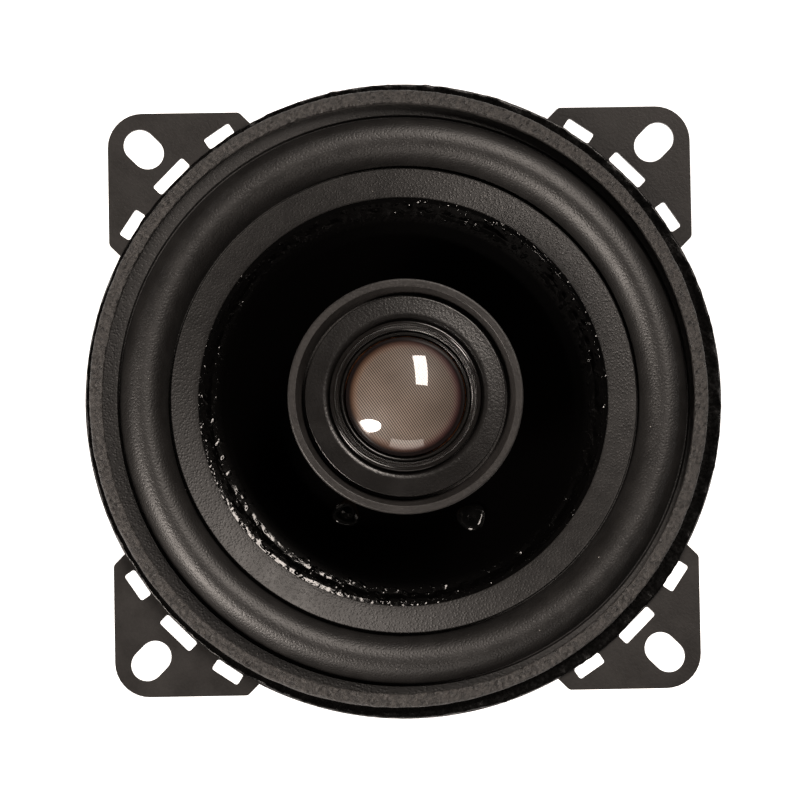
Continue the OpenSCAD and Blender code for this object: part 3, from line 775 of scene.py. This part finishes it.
def basket_surface():
    """The basket's outer and back surface, as one open sheet with its windows and ear holes"""
    points, faces = [], []

    def add(new_points, new_faces):
        first = len(points)
        points.extend(new_points)
        faces.extend([tuple(first + i for i in f) for f in new_faces])

    top = (SLANT_R + PATCH_HALF_H / ROOT2, SLANT_Z + PATCH_HALF_H / ROOT2)
    foot = (SLANT_R - PATCH_HALF_H / ROOT2, SLANT_Z - PATCH_HALF_H / ROOT2)
    knee = (WALL_SUM + SHELF_Z - SHEET_T, SHELF_Z - SHEET_T)
    upper = rounded([top, (SPIGOT_R, -SPIGOT_L, 1.6), (SPIGOT_R, 0, 0.5), (PLATE_R, 0)], steps=6)
    lower = rounded([(14.5, SEAT_Z), (27, SEAT_Z, 1.5), (27, SHELF_Z - SHEET_T, 0.6),
                     (*knee, 1.6), foot], steps=6)
    for path in (upper, lower):
        add(lathe_points(path, AROUND).tolist(),
            grid_faces(AROUND, len(path), closed_columns=False))
    half, side, rings = AROUND // 8, 10, 5
    border = [(k / half, -1) for k in range(-half, half)]
    border += [(1, k / side) for k in range(-side, side)]
    border += [(-x, -y) for x, y in border]
    for window in range(4):
        ring_points = []
        for k in range(rings + 1):
            for across, up in border:
                u, v = window_ring(k / rings, across, up)
                r, turn = SLANT_R + v / ROOT2, window * TURN / 4 + u / SLANT_R
                ring_points.append((r * math.cos(turn), r * math.sin(turn), SLANT_Z + v / ROOT2))
        add(ring_points, grid_faces(rings + 1, len(border), closed_rows=False))
    return points, faces


def flange_sheet(target):
    """Adds the flat flange and ears, with their holes, to a bmesh in mm"""
    loops = [flange_outline()] + [turned(h, a) for a in (0, 90, 180, 270) for h in ear_holes()]
    loops.append([(PLATE_R * math.cos(k * TURN / AROUND), PLATE_R * math.sin(k * TURN / AROUND))
                  for k in range(AROUND)])
    edges = []
    for loop in loops:
        verts = [target.verts.new((x, y, 0)) for x, y in loop]
        edges += [target.edges.new((a, b)) for a, b in zip(verts, verts[1:] + verts[:1])]
    bmesh.ops.triangle_fill(target, edges=edges, use_beauty=True, use_dissolve=False)


def make_basket(coat):
    """Pressed sheet with the terminals' raised pad and two holes for the tinsel leads"""
    sheet = bmesh.new()
    flange_sheet(sheet)
    points, faces = basket_surface()
    verts = [sheet.verts.new(p) for p in points]
    for f in faces:
        sheet.faces.new([verts[i] for i in f])
    bmesh.ops.remove_doubles(sheet, verts=sheet.verts, dist=0.02)
    bmesh.ops.dissolve_degenerate(sheet, edges=sheet.edges, dist=0.001)
    bmesh.ops.recalc_face_normals(sheet, faces=sheet.faces)
    ear_face = max(sheet.faces, key=lambda f: f.calc_center_median().xy.length)
    if ear_face.normal.z > 0:
        bmesh.ops.reverse_faces(sheet, faces=sheet.faces)
    bmesh.ops.scale(sheet, vec=(MM, MM, MM), verts=sheet.verts)
    mesh = bpy.data.meshes.new("basket_pressing")
    sheet.to_mesh(mesh)
    sheet.free()
    piece = new_object("basket_pressing", mesh, coat)
    wall = piece.modifiers.new("sheet", "SOLIDIFY")
    wall.thickness = SHEET_T * MM
    wall.offset = -1
    wall.use_even_offset = True
    bake_modifiers(piece)
    pad = prism("pad", rounded_box((-3.6, 8.2), (-9.6, 9.6), 1), -1.3, PAD_TOP)
    place(pad.data, BOARD)
    cut(piece, pad, "UNION")
    for side in (1, -1):
        lead_hole = round_tool(1.3, -4, 4)
        place(lead_hole.data, BOARD @ Matrix.Translation((-5.6, side * TERMINAL_Y, 0)))
        cut(piece, lead_hole)
    soften_edges(piece, 0.13, angle=40)
    return stands_for(piece, "basket")


# ---------- cone, surround, spider and gasket ----------

def make_gasket(material):
    """Fibre ring with a worn, ragged surface"""
    outer, low, high = size_of("front_gasket")
    box_low, box_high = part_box("front_gasket")
    middle = (box_low + box_high) / 2 / MM
    outline = ring_outline(outer - 2.1, outer, low, high, (0.05, 0.05, 0.35, 0.3))

    def ragged(points):
        out = radially(points, 0.06 * lumps(points, 2.2, 3) + 0.05 * lumps(points, 0.6, 4))
        top = points[:, 2] > (low + high) / 2
        wear = 0.05 * np.abs(lumps(points, 1.1, 5)) + 0.03 * lumps(points, 0.5, 6)
        out[:, 2] -= np.where(top, wear, 0)
        return out + np.array([middle.x, middle.y, 0])

    turned_piece("front_gasket", "gasket_ring", finely(outline, 0.25), material, 900, ragged)


ROLL_R, ROLL_Z = 41.35, 0.5          # the half roll's middle
ROLL_HALF, ROLL_H = 3.72, 4.8        # its half width and height
RUBBER_T, SURROUND_T = 0.6, 0.7      # thickness of the roll and of the glued flange
RIM_GLUE_R = 48.3                    # black glue covers the surround from here out


def make_surround(material, glue):
    """Glued flange, half roll between two creases, and conical inner flange, in one moulding"""
    outer = size_of("surround")[0]
    low, flange_z = SHEET_T, SHEET_T + SURROUND_T
    inner_r = 32.6
    cone_top = [(r, cone_z(r) + 0.7) for r in (36.0, 35.2, 34.4, 33.6, 33.2)]
    cone_low = [(r, cone_z(r) + 0.1) for r in (33.2, 34.2, 35.4, 36.4)]
    roll = arc((ROLL_R, ROLL_Z), (ROLL_HALF, ROLL_H), 8.5, 172, 46)
    under = arc((ROLL_R, ROLL_Z - 0.2), (ROLL_HALF - RUBBER_T, ROLL_H - 0.4), 174, 9.5, 36)
    outline = rounded([
        (inner_r, cone_z(inner_r) + 0.1, 0.05), *cone_low, (36.95, cone_z(37) + 0.12),
        (37.1, -0.1, 0.08), (37.8, -0.1, 0.1), *under, (44.6, low), (outer, low, 0.1),
        (outer, flange_z, 0.3), (49.2, flange_z), (48.2, flange_z), (45.45, flange_z, 0.14),
        (45.25, SHEET_T + 0.14, 0.1), (45.06, SHEET_T + 0.12, 0.04), *roll,
        (37.26, 0.24, 0.05), (37.08, 0.22, 0.05), (36.98, cone_z(36.98) + 0.7, 0.14),
        *cone_top, (inner_r, cone_z(inner_r) + 0.65, 0.22)], steps=5)

    def uneven(points):
        r = radii(points)
        rim = np.clip((r - 49.0) / 0.5, 0, 1)
        glue_edge = 0.14 * lumps(points, 3.0, 11) + 0.10 * lumps(points, 0.8, 12) + 0.22
        out = radially(points, rim * glue_edge)
        out[:, 2] += rim * (points[:, 2] > low + 0.3) * (0.16 * lumps(points, 1.4, 13) + 0.08)
        return out

    piece = lathe("surround_moulding", finely(outline, 0.45), material, 720, uneven)
    piece.data.materials.append(glue)
    for face in piece.data.polygons:
        if face.center.xy.length > RIM_GLUE_R * MM:
            face.material_index = 1
    blend_by_radius(piece, "surround")


def make_cone(material):
    """Paper cone with beads and drops of lacquer near its edge"""
    coarse = np.linspace(NECK_R, 28.6, 34)
    fine = np.arange(28.7, 32.0, 0.09)
    bead = np.arange(32.05, 32.85, 0.05)
    hidden = np.array([34.0, 35.5, CONE_R])
    front = [(r, cone_z(r)) for r in np.concatenate([coarse, fine, bead, hidden])]
    back = [(r, cone_z(r) - CONE_T) for r in np.linspace(CONE_R, NECK_R, 24)]

    def crusted(points):
        r = radii(points)
        face = points[:, 2] > cone_z(np.clip(r, NECK_R, CONE_R)) - CONE_T / 2
        belt = np.clip((r - BELT_R) / 1.2, 0, 1) * np.clip((33.4 - r) / 0.5, 0, 1) * face
        drops = 0.34 * np.clip(lumps(points, 0.75, 21) - 0.50, 0, 1)
        grit = 0.20 * np.clip(lumps(points, 0.42, 22) - 0.47, 0, 1)
        wander = 0.30 * lumps(points, 5.0, 24) + 0.14 * lumps(points, 1.2, 25)
        patchy = np.clip(0.45 + 1.2 * lumps(points, 1.1, 26), 0, 1)
        step = np.interp(r - wander, [29.75, 30.45, 31.3], [0, -0.105, 0]) * patchy
        bank = np.interp(r, [30.6, 31.95, 32.6, 33.2], [0, 0.26, 0.20, 0])
        ripple = 0.030 * lumps(points, 0.5, 27) + 0.03 * lumps(points, 1.5, 28)
        ripple *= np.exp(-((r - 32.25) / 0.5) ** 2)
        out = points.copy()
        out[:, 2] += belt * (drops + grit + step) + face * (bank + ripple)
        return out

    turned_piece("cone", "cone_paper_shell", front + back, material, 1400, crusted)


def make_spider(material):
    """Pleated cloth disc between the basket's shelf and the coil's former"""
    pleats, start, end, height, t = 4, 14.0, 27.0, 0.9, 0.4
    collar, collar_top, rim = 13.0, SHELF_Z + 1.3, 32.5
    radii = np.linspace(start, end, 16 * pleats + 1)
    wave = SHELF_Z + t / 2 - height * np.sin(TURN * pleats * (radii - start) / (end - start))
    top = [(r, z + t / 2) for r, z in zip(radii, wave)]
    bottom = [(r, z - t / 2) for r, z in zip(radii[::-1], wave[::-1])]
    outline = rounded([(collar, SHELF_Z, 0.1), *bottom[::-1], (rim, SHELF_Z, 0.1),
                       (rim, SHELF_Z + t, 0.1), *top[::-1], (collar + t, SHELF_Z + t, 0.2),
                       (collar + t, collar_top, 0.1), (collar, collar_top, 0.1)], steps=3)
    piece = lathe("spider_cloth_disc", outline, material, 360)
    blend_by_radius(piece, "spider")


def make_glue_dabs(material):
    """Dabs of glue over the tinsel leads' ends, each a lumpy bead with a hollow middle"""
    pieces = []
    rings, around = 22, 48
    dab_r, dab_h, hollow_r, hollow_depth, sunk = 2.25, 1.35, 0.75, 0.55, 0.25
    for side, near_x, near_y in ((-1, 17.3, -9.2), (1, 18.25, 10.7)):
        points = []
        for i in range(rings + 1):
            share = i / rings
            for j in range(around):
                t = TURN * j / around
                r = dab_r * math.sin(share * math.pi / 2) * (1 + 0.07 * math.sin(3 * t + side))
                height = dab_h * math.cos(share * math.pi / 2) ** 0.8
                height -= hollow_depth * math.exp(-(r / hollow_r) ** 2)
                x, y = near_x + r * math.cos(t), near_y + r * math.sin(t)
                points.append((x, y, cone_z(math.hypot(x, y)) - sunk + height))
        points.append((near_x, near_y, cone_z(20.5) - 0.7))
        faces = grid_faces(rings + 1, around, closed_rows=False)
        last = rings * around
        faces += [(last + j, last + (j + 1) % around, len(points) - 1) for j in range(around)]
        mesh = mesh_of("dab", points, faces)
        place(mesh, TO_TERMINALS)
        pieces.append(new_object("dab", mesh))
    stands_for(join("glue_dabs", pieces, material), "lead_glue_dabs")


def former(node, name, wall, fillet, material, around, step):
    """A coil's tube, with points no further apart than step along it"""
    r, low, high = size_of(node)
    outline = ring_outline(r - wall, r, low, high, (fillet,) * 4, 2)
    turned_piece(node, name, finely(outline, step), material, around)


def winding(node, name, depth, turns, material, around):
    """A coil whose turns show"""
    r, low, high = size_of(node)
    half = (high - low) / turns / 2
    wavy = [p for k in range(turns)
            for p in arc((r - half, high - half * 2 * (k + 0.5)), (half, half), 80, -80, 4)]
    turned_piece(node, name, [(r - depth, low), (r - depth, high), *wavy], material, around)


# ---------- motor ----------

def make_motor(steel, ferrite):
    """Front plate, ferrite magnet, and back plate with its pole and a channel for the wires"""
    r, low, high = size_of("top_plate")
    plate = ring_outline(13.8, r, low, high, (0.25, 0.5, 0.5, 0.25), 5)
    turned_piece("top_plate", "front_plate", finely(plate, 3.0), steel)
    r, low, high = size_of("magnet")
    ring = ring_outline(16, r, low, high, (0.6, 0.9, 0.9, 0.6))

    def chipped(points):
        edge = np.abs(points[:, 2] - (low + high) / 2) > (high - low) / 2 - 1.2
        return radially(points, 0.02 * lumps(points, 1.5, 31)
                        - edge * 0.25 * np.clip(lumps(points, 1.8, 32) - 0.35, 0, 1))

    turned_piece("magnet", "ferrite_ring", finely(ring, 0.8), ferrite, 512, chipped)
    r, back, front = size_of("t_yoke")
    plate = back + 5
    outline = rounded([
        (STUD_HOLE_R, plate - 0.01), (7.5, plate, 0.1), (7.5, back, 0.3), (r, back, 0.7),
        (r, plate, 0.6), (12.3, plate, 0.3), (12.3, front, 0.4), (STUD_HOLE_R, front, 0.2)], steps=5)
    yoke = lathe("back_plate_and_pole", finely(outline, 3.0), steel)
    channel = prism("tool", box_outline((6.5, 34), (-1.7, 1.7)), back - 1, back + 1.8)
    place(channel.data, TO_TERMINALS)
    cut(yoke, channel)
    soften_edges(yoke, 0.12, angle=60)
    stands_for(yoke, "t_yoke")


def rivet_outline(shank, low, high, heads):
    """A rivet on Z. Each head is (radius, height): one below low, one above high, or None."""
    bottom, top = heads
    out = [(0, low - (bottom[1] if bottom else 0))]
    if bottom:
        out += arc((0, low), bottom, -84, 0, 7)
    out += [(shank, low), (shank, high)]
    if top:
        out += arc((0, high), top, 0, 84, 7)
    return out + [(0, high + (top[1] if top else 0))]


def rivets(name, node, outline, places, material):
    """One piece from the same rivet at several places"""
    pieces = []
    for matrix in places:
        mesh = mesh_of(name, lathe_points(outline, 40), grid_faces(40, len(outline)))
        place(mesh, matrix)
        pieces.append(new_object(name + "_part", mesh))
    stands_for(join(name, pieces, material), node)


# ---------- terminals and wires ----------

CAPACITOR_JOINT = (31.6, 4.6, -22.4)

# The wires' routes, in the terminals' frame
TINSEL = [(18, 9.8, -9.1), (18.3, 9.8, -10.2), (19.6, 9.6, -11.8), (22.5, 9.2, -13.2),
          (27, 8.4, -13.6), (32, 7.4, -12.2), (36.5, 6.3, -9.4), (39.2, 5.6, -6.8),
          (41.2, 5.1, -5.7), (42.6, 5, -5.9), (43.8, 5, -6.8), (44.8, 5, -8),
          (45, 5, -9.4), (44.5, 5, -10.8), (43.4, 5, -12)]
WIRE_IN_POD = [(13.5, 3.5, 4.6), (13.5, 3.5, 4.1), (13, 3.3, 3.5), (12, 3.1, 3.25),
               (7, 1.9, 3.2), (3, 0.9, 3.2), (1.5, 0.65, 2.9), (0.4, 0.6, 2),
               (0, 0.6, 0.5), (0, 0.6, -8), (0, 0.6, -18), (0, 0.6, -29), (0, 0.6, -39),
               (0.2, 0.6, -40.4), (0.8, 0.6, -41.4), (2, 0.6, -42), (4, 0.6, -42.05),
               (12, 0.6, -42.05), (20, 0.6, -42.05), (28, 0.6, -42.05), (31, 0.6, -41.7),
               (33, 0.6, -40.4), (33.6, 0.6, -38), (33.6, 0.6, -33), (33.6, 0.6, -28)]
WIRE_TO_CAPACITOR = [(33.4, 1.2, -25.8), (32.9, 2.3, -24), (32.2, 3.6, -22.9), CAPACITOR_JOINT]
WIRE_TO_TERMINAL = [(34, 1.6, -24.6), (35, 3.4, -21), (36.6, 4.6, -18.4), (38.2, 5, -17),
                    (39.1, 5, -17)]
LEAD_TO_TERMINAL = [(30.1, 7.4, -19.4), (30.9, 5.9, -19.3), (33, 5, -19.1), (35.6, 5, -19),
                    (37.6, 5, -18.1), (38.6, 5, -17.2), (39.1, 5, -17)]
LEAD_TO_WIRE = [(30.1, 7.4, -21.4), (30.6, 6.3, -21.7), (31.1, 5.4, -22.1), CAPACITOR_JOINT]


def mirrored(route):
    return [(x, -y, z) for x, y, z in route]


def solder(at, radius, material):
    """A blob of solder, in the terminals' frame"""
    outline = [(0, -radius), *arc((0, 0), (radius, radius * 0.9), -80, 80, 12), (0, radius * 0.9)]
    points = lathe_points(outline, 28)
    points = points * (1 + 0.10 * lumps(points + 5 * np.array(at), radius, 41))[:, None]
    mesh = mesh_of("solder", points + np.array(at), grid_faces(28, len(outline)))
    place(mesh, TO_TERMINALS)
    return new_object("solder", mesh, material)


def make_board(laminate):
    outline = rounded_box((-3.2, 7.8), (-9.5, 9.5), 0.8, 5, 0)
    piece = prism("terminal_card", outline, PAD_TOP, PAD_TOP + BOARD_T, laminate)
    place(piece.data, BOARD)
    soften_edges(piece, 0.1)
    stands_for(piece, "terminal_board")


def make_terminal(name, node, side, blade_w, metal):
    """Riveted base, bent to a blade that points backwards"""
    base_w = max(blade_w, 3.4)
    tip, length, hole_from_tip, bend_x = 1.2, 9.5, 3.6, 3.2
    base_z = PAD_TOP + BOARD_T
    base = prism("base", rounded([(-2.8, -base_w / 2, 0.5), (3.6, -base_w / 2), (3.6, base_w / 2),
                                  (-2.8, base_w / 2, 0.5)], 4, 0), 0, BLADE_T, metal)
    half = blade_w / 2
    blade = prism("blade", [(0, -half), (length - tip, -half), (length, -half + tip * 0.6),
                            (length, half - tip * 0.6), (length - tip, half), (0, half)],
                  0, BLADE_T, metal)
    hole = round_tool(0.8, -1, 2)
    place(hole.data, Matrix.Translation((length - hole_from_tip, 0, 0)))
    cut(blade, hole)
    bend = Matrix.Translation((bend_x, 0, 0)) @ Matrix.Rotation(math.radians(-45), 4, "Y")
    place(blade.data, bend)
    cut(base, blade, "UNION")
    place(base.data, BOARD @ Matrix.Translation((0, side * TERMINAL_Y, base_z)))
    base.name = name
    soften_edges(base, 0.12, angle=40)
    stands_for(base, node)


def make_leads(tinsel, red, black, bare):
    """Two tinsel leads to the cone, two wires to the tweeter, and the capacitor's legs"""
    for route, name in ((TINSEL, "positive"), (mirrored(TINSEL), "negative")):
        node = "tinsel_lead_" + name
        piece = tube("tinsel_braid_" + name, route, 0.9, tinsel, strands=7, twist=5.0)
        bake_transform(piece)
        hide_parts(node)
    stands_for(tube("tweeter_lead_red", WIRE_IN_POD + WIRE_TO_CAPACITOR, 0.8, red),
               "tweeter_wire_positive")
    stands_for(tube("tweeter_lead_black", mirrored(WIRE_IN_POD + WIRE_TO_TERMINAL), 0.8, black),
               "tweeter_wire_negative")
    legs = [tube("leg", route, 0.6, bare) for route in (LEAD_TO_TERMINAL, LEAD_TO_WIRE)]
    legs.append(solder(CAPACITOR_JOINT, 0.75, bare))
    stands_for(join("capacitor_legs", legs, bare), "capacitor_leads")


def make_capacitor(sleeve):
    """Shrink-sleeved can, with its sleeve turned in over both ends"""
    r, half = 3.15, 5.5
    outline = rounded([(0, -half + 0.35), (r - 0.9, -half + 0.35, 0.1), (r - 0.7, -half, 0.15),
                       (r, -half, 0.5), (r, -half + 1.3, 0.4), (r - 0.22, -half + 1.6, 0.4),
                       (r, -half + 1.9, 0.4), (r, half, 0.5), (r - 0.7, half, 0.15),
                       (r - 0.9, half - 0.35, 0.1), (0, half - 0.35)], steps=4)
    piece = lathe("capacitor_can", outline, sleeve, 96)
    turn = Matrix.Rotation(TERMINAL_TURN + math.radians(24), 4, "Z")
    lying = Matrix.Rotation(math.radians(90), 4, "X")
    place(piece.data, turn @ Matrix.Translation((30.5, 0, -20.4)) @ lying)
    stands_for(piece, "crossover_capacitor")


# ---------- tweeter ----------

def make_post(plastic):
    """Flared centre post that carries the tweeter"""
    base_z, floor_z = SEAT_Z, 1.2
    outline = rounded([
        (STUD_HOLE_R, base_z, 0.1), (11, base_z, 0.2), (11, base_z + 1.2, 0.4),
        (7.3, base_z + 4, 1.5), (6.5, base_z + 7, 2), (6.5, -3, 1), (7.5, -1, 1),
        (9.5, floor_z, 0.2), (4, floor_z), (4, 2.7, 0.2), (1.8, 2.7, 0.2), (1.8, -14.2, 0.1),
        (STUD_HOLE_R, -14.2, 0.1)], steps=5)
    turned_piece("tweeter_post", "centre_post", finely(outline, 1.5), plastic, 128)


def make_pod(plastic):
    """Tweeter housing: the turned-in face and its chamfer down to the ledge"""
    r, low, high = size_of("tweeter_housing")
    outline = rounded([
        (4.02, low, 0.1), (r - 2.4, low, 0.6), (r - 0.4, low + 2, 0.8), (r - 0.4, high - 2.1, 0.1),
        (r, high - 1.7, 0.15), (r, high, 0.3), (17.34, high, 0.14), (16.35, high - 2.1, 0.1),
        (16.2, 7.5, 0.1), (14.8, 7.5, 0.2), (14.8, 2.7, 0.3), (4.02, 2.7, 0.1)], steps=5)
    turned_piece("tweeter_housing", "tweeter_pod", finely(outline, 1.2), plastic, 384)


def make_bezel(material):
    """Shallow cone-shaped disc that slopes down to its rim and rolls in at the ring"""
    r, low, _ = size_of("tweeter_bezel")
    crown_r, crown_z, slope = 13.05, 9.74, math.tan(math.radians(6.5))
    rim_r = r - 0.22
    face = [(rim_r - (rim_r - crown_r) * k / 8, crown_z - slope * (rim_r - crown_r) * (1 - k / 8))
            for k in range(9)]
    roll_in = arc((crown_r, crown_z - 0.55), (0.9, 0.55), 97, 160, 8)
    outline = rounded([(10.5, low, 0.1), (r, low, 0.1), (r, face[0][1], 0.16),
                       *face[1:], *roll_in, (12.05, 9.25, 0.1), (12.05, 8.2, 0.1),
                       (10.5, 8.2, 0.1)])
    turned_piece("tweeter_bezel", "tweeter_face_disc", outline, material, 384)


def make_ring(material):
    """Retaining ring: a rounded lip, and a ribbed slope down to the dome"""
    r, low, high = size_of("tweeter_retaining_ring")
    ribs, points_on_rib = 230, 6
    lip_r = 0.33
    lip = arc((r - lip_r, high - lip_r), (lip_r, lip_r), 0, 165, 14)
    outline = rounded([
        (10.4, low, 0.06), (r, low, 0.06), *lip, (11.2, high - 0.34, 0.04), (11.1, high - 0.32),
        (10.95, high - 0.42), (10.8, high - 0.54), (10.66, high - 0.68, 0.04),
        (10.6, high - 0.8, 0.04), (10.45, high - 0.88, 0.05), (10.4, high - 1.2, 0.05)], steps=3)

    def ribbed(points):
        r = radii(points)
        turn = np.arctan2(points[:, 1], points[:, 0])
        slope = np.clip((11.24 - r) / 0.08, 0, 1) * np.clip((r - 10.64) / 0.05, 0, 1)
        inside = np.clip((10.62 - r) / 0.04, 0, 1)
        up = points[:, 2] > high - 1.25
        wave = np.cos(turn * ribs)
        out = points.copy()
        out[:, 2] += up * slope * 0.07 * wave
        return radially(out, up * inside * 0.05 * wave)

    turned_piece("tweeter_retaining_ring", "dome_retaining_ring", outline, material,
                 ribs * points_on_rib, ribbed)


def make_dome(weave, film, edge_film, copper):
    """Woven dome, its half-roll edge, and the small coil below"""
    base_r, base_z, top_z = size_of("tweeter_dome")
    height = top_z - base_z
    ball_r = (base_r ** 2 + height ** 2) / (2 * height)
    ball_z = top_z - ball_r
    foot_r, turn_r = 8.72, 1.05
    reach = math.degrees(math.asin(foot_r / ball_r))
    rim = (foot_r + turn_r * math.sin(math.radians(reach)),
           ball_z + ball_r * math.cos(math.radians(reach)) + turn_r * math.cos(math.radians(reach)))
    foot = arc(rim, (turn_r, turn_r), 270, 270 - reach, 10)
    outer = [(base_r, base_z)] + [p for p in foot if p[0] < base_r] + \
        arc((0, ball_z), (ball_r, ball_r), 90 - reach, 90, 72)[1:]
    inner_r = ball_r - 0.2
    inner_reach = math.degrees(math.acos((base_z - ball_z) / inner_r))
    inner = arc((0, ball_z), (inner_r, inner_r), 90, 90 - inner_reach, 24)
    turned_piece("tweeter_dome", "woven_dome", outer + inner, weave)
    roll = arc((10.0, 8.42), (0.36, 0.42), 165, 15, 12)
    under = arc((10.0, 8.3), (0.24, 0.3), 20, 160, 8)
    outline = rounded([(9.62, 8.38, 0.02), *roll, (10.6, 8.38, 0.05), (11.8, 8.38, 0.03),
                       (11.8, 8.22, 0.03), (10.4, 8.22, 0.03), *under, (9.6, 8.3, 0.02)], steps=2)
    piece = lathe("dome_edge_roll", outline, edge_film)
    blend_by_radius(piece, "tweeter_edge")
    former("tweeter_coil_former", "dome_coil_former", 0.1, 0.03, film, 128, step=20)
    winding("tweeter_coil", "dome_coil_turns", 0.33, 8, copper, 128)


def finish_cad(node, material, edge):
    """A CAD node that is shown as it is, with its edges softened"""
    piece = frame["nodes"][node]
    piece.data.materials.clear()
    piece.data.materials.append(material)
    weld = piece.modifiers.new("weld", "WELD")
    weld.merge_threshold = 0.002 * MM
    soften_edges(piece, edge, angle=40)


# ---------- the model ----------

make_camera()
make_studio()

coat = grained("basket_coat", (0.0095, 0.0085, 0.0080), (0.0150, 0.0135, 0.0127), 0.42, 0.034,
               (0.42, 0.52), coarse=5.0, Specular_IOR_Level=0.45).material
fibre = grained("gasket_fibre", (0.005, 0.0046, 0.0044), (0.045, 0.0415, 0.039), 0.50, 0.62,
                (0.50, 0.70), speckle=0.45, coarse=1.0, Specular_IOR_Level=0.5).material
pod_plastic = grained("pod_plastic", (0.011, 0.010, 0.0095), (0.024, 0.0218, 0.0206), 0.46, 0.085,
                      (0.42, 0.5), Specular_IOR_Level=0.5).material
bezel_plastic = grained("bezel_plastic", (0.004, 0.0036, 0.0034), (0.008, 0.0073, 0.0070), 0.40,
                        0.050, (0.28, 0.33), Specular_IOR_Level=0.64).material
ferrite = grained("ferrite", (0.028, 0.028, 0.030), (0.055, 0.055, 0.057), 0.28, 0.03,
                  (0.55, 0.75), coarse=4.0).material
film = grained("former_film", (0.030, 0.018, 0.010), (0.050, 0.032, 0.020), 1.0, 0.004,
               (0.2, 0.3)).material
felt = grained("felt", (0.16, 0.14, 0.12), (0.34, 0.31, 0.26), 0.12, 0.08, (0.9, 1.0)).material
ring_plastic = gloss_black("ring_plastic", (0.009, 0.0082, 0.0078), (0.14, 0.20), 0.004, 0.4)
rim_glue = gloss_black("rim_glue", (0.002, 0.0019, 0.0018), (0.20, 0.34), 0.05, 0.6, 0.22)
glue = gloss_black("black_glue", (0.003, 0.003, 0.003), (0.08, 0.16), 0.03, 0.6)
edge_film = gloss_black("edge_film", (0.006, 0.0055, 0.005), (0.25, 0.35), 0.004, 0.3)
zinc = plated("zinc_plating", (0.55, 0.54, 0.50), (0.26, 0.42))
brass = plated("tinned_brass", (0.66, 0.55, 0.33), (0.28, 0.42))
tinned = plated("tinned_wire", (0.68, 0.68, 0.67), (0.25, 0.4))
motor_steel = turned_metal("motor_steel", (0.30, 0.30, 0.305), (0.34, 0.5))
nickel = turned_metal("nickel_plating", (0.50, 0.49, 0.47), (0.2, 0.32))
copper = copper_wire("copper_wire", (0.62, 0.25, 0.12))
braid = copper_wire("tinsel_braid", (0.60, 0.36, 0.20))
red_sleeve = coloured_plastic("red_insulation", (0.30, 0.016, 0.012), (0.35, 0.45))
black_sleeve = coloured_plastic("black_insulation", (0.012, 0.012, 0.012), (0.35, 0.45))
blue_sleeve = coloured_plastic("capacitor_sleeve", (0.012, 0.022, 0.085), (0.22, 0.32))

make_basket(coat)
make_gasket(fibre)
make_surround(rubber(), rim_glue)
make_cone(lacquer())
make_spider(cloth_of_spider())
make_glue_dabs(glue)
former("voice_coil_former", "coil_former_tube", 0.3, 0.05, film, 192, step=1.5)
winding("voice_coil_winding", "coil_winding_turns", 0.48, 28, copper, 192)
make_motor(motor_steel, ferrite)

rivets("plate_stakes", "plate_rivets",
       rivet_outline(1.5, SEAT_Z - 1.5, SEAT_Z + SHEET_T, (None, (2.3, 0.7))),
       [Matrix.Rotation(k * TURN / 4, 4, "Z") @ Matrix.Translation((STAKE_R, 0, 0))
        for k in range(4)], motor_steel)
rivets("board_eyelets", "board_rivets",
       rivet_outline(1.2, -1.5, PAD_TOP + BOARD_T, ((1.9, 0.6), (1.9, 0.6))),
       [BOARD @ Matrix.Translation((x, 0, 0)) for x in (-1.4, 6)], zinc)
rivets("terminal_eyelets", "terminal_rivets",
       rivet_outline(1.0, PAD_TOP, PAD_TOP + BOARD_T + BLADE_T, ((1.6, 0.5), (1.6, 0.55))),
       [BOARD @ Matrix.Translation((1, side * TERMINAL_Y, 0)) for side in (-1, 1)], zinc)
make_board(laminate())
make_terminal("blade_positive", "terminal_positive", 1, 4.8, brass)
make_terminal("blade_negative", "terminal_negative", -1, 2.8, brass)
make_leads(braid, red_sleeve, black_sleeve, tinned)
make_capacitor(blue_sleeve)

make_post(pod_plastic)
make_pod(pod_plastic)
make_bezel(bezel_plastic)
make_ring(ring_plastic)
make_dome(dome_weave(), film, edge_film, copper)

for node, material, edge in (("post_stud", zinc, 0.1), ("post_washer", zinc, 0.08),
                             ("post_nut", zinc, 0.15), ("tweeter_yoke", nickel, 0.15),
                             ("tweeter_magnet", nickel, 0.15), ("tweeter_pole_plate", nickel, 0.1),
                             ("tweeter_felt_pad", felt, 0.08), ("tweeter_terminals", brass, 0.05)):
    finish_cad(node, material, edge)
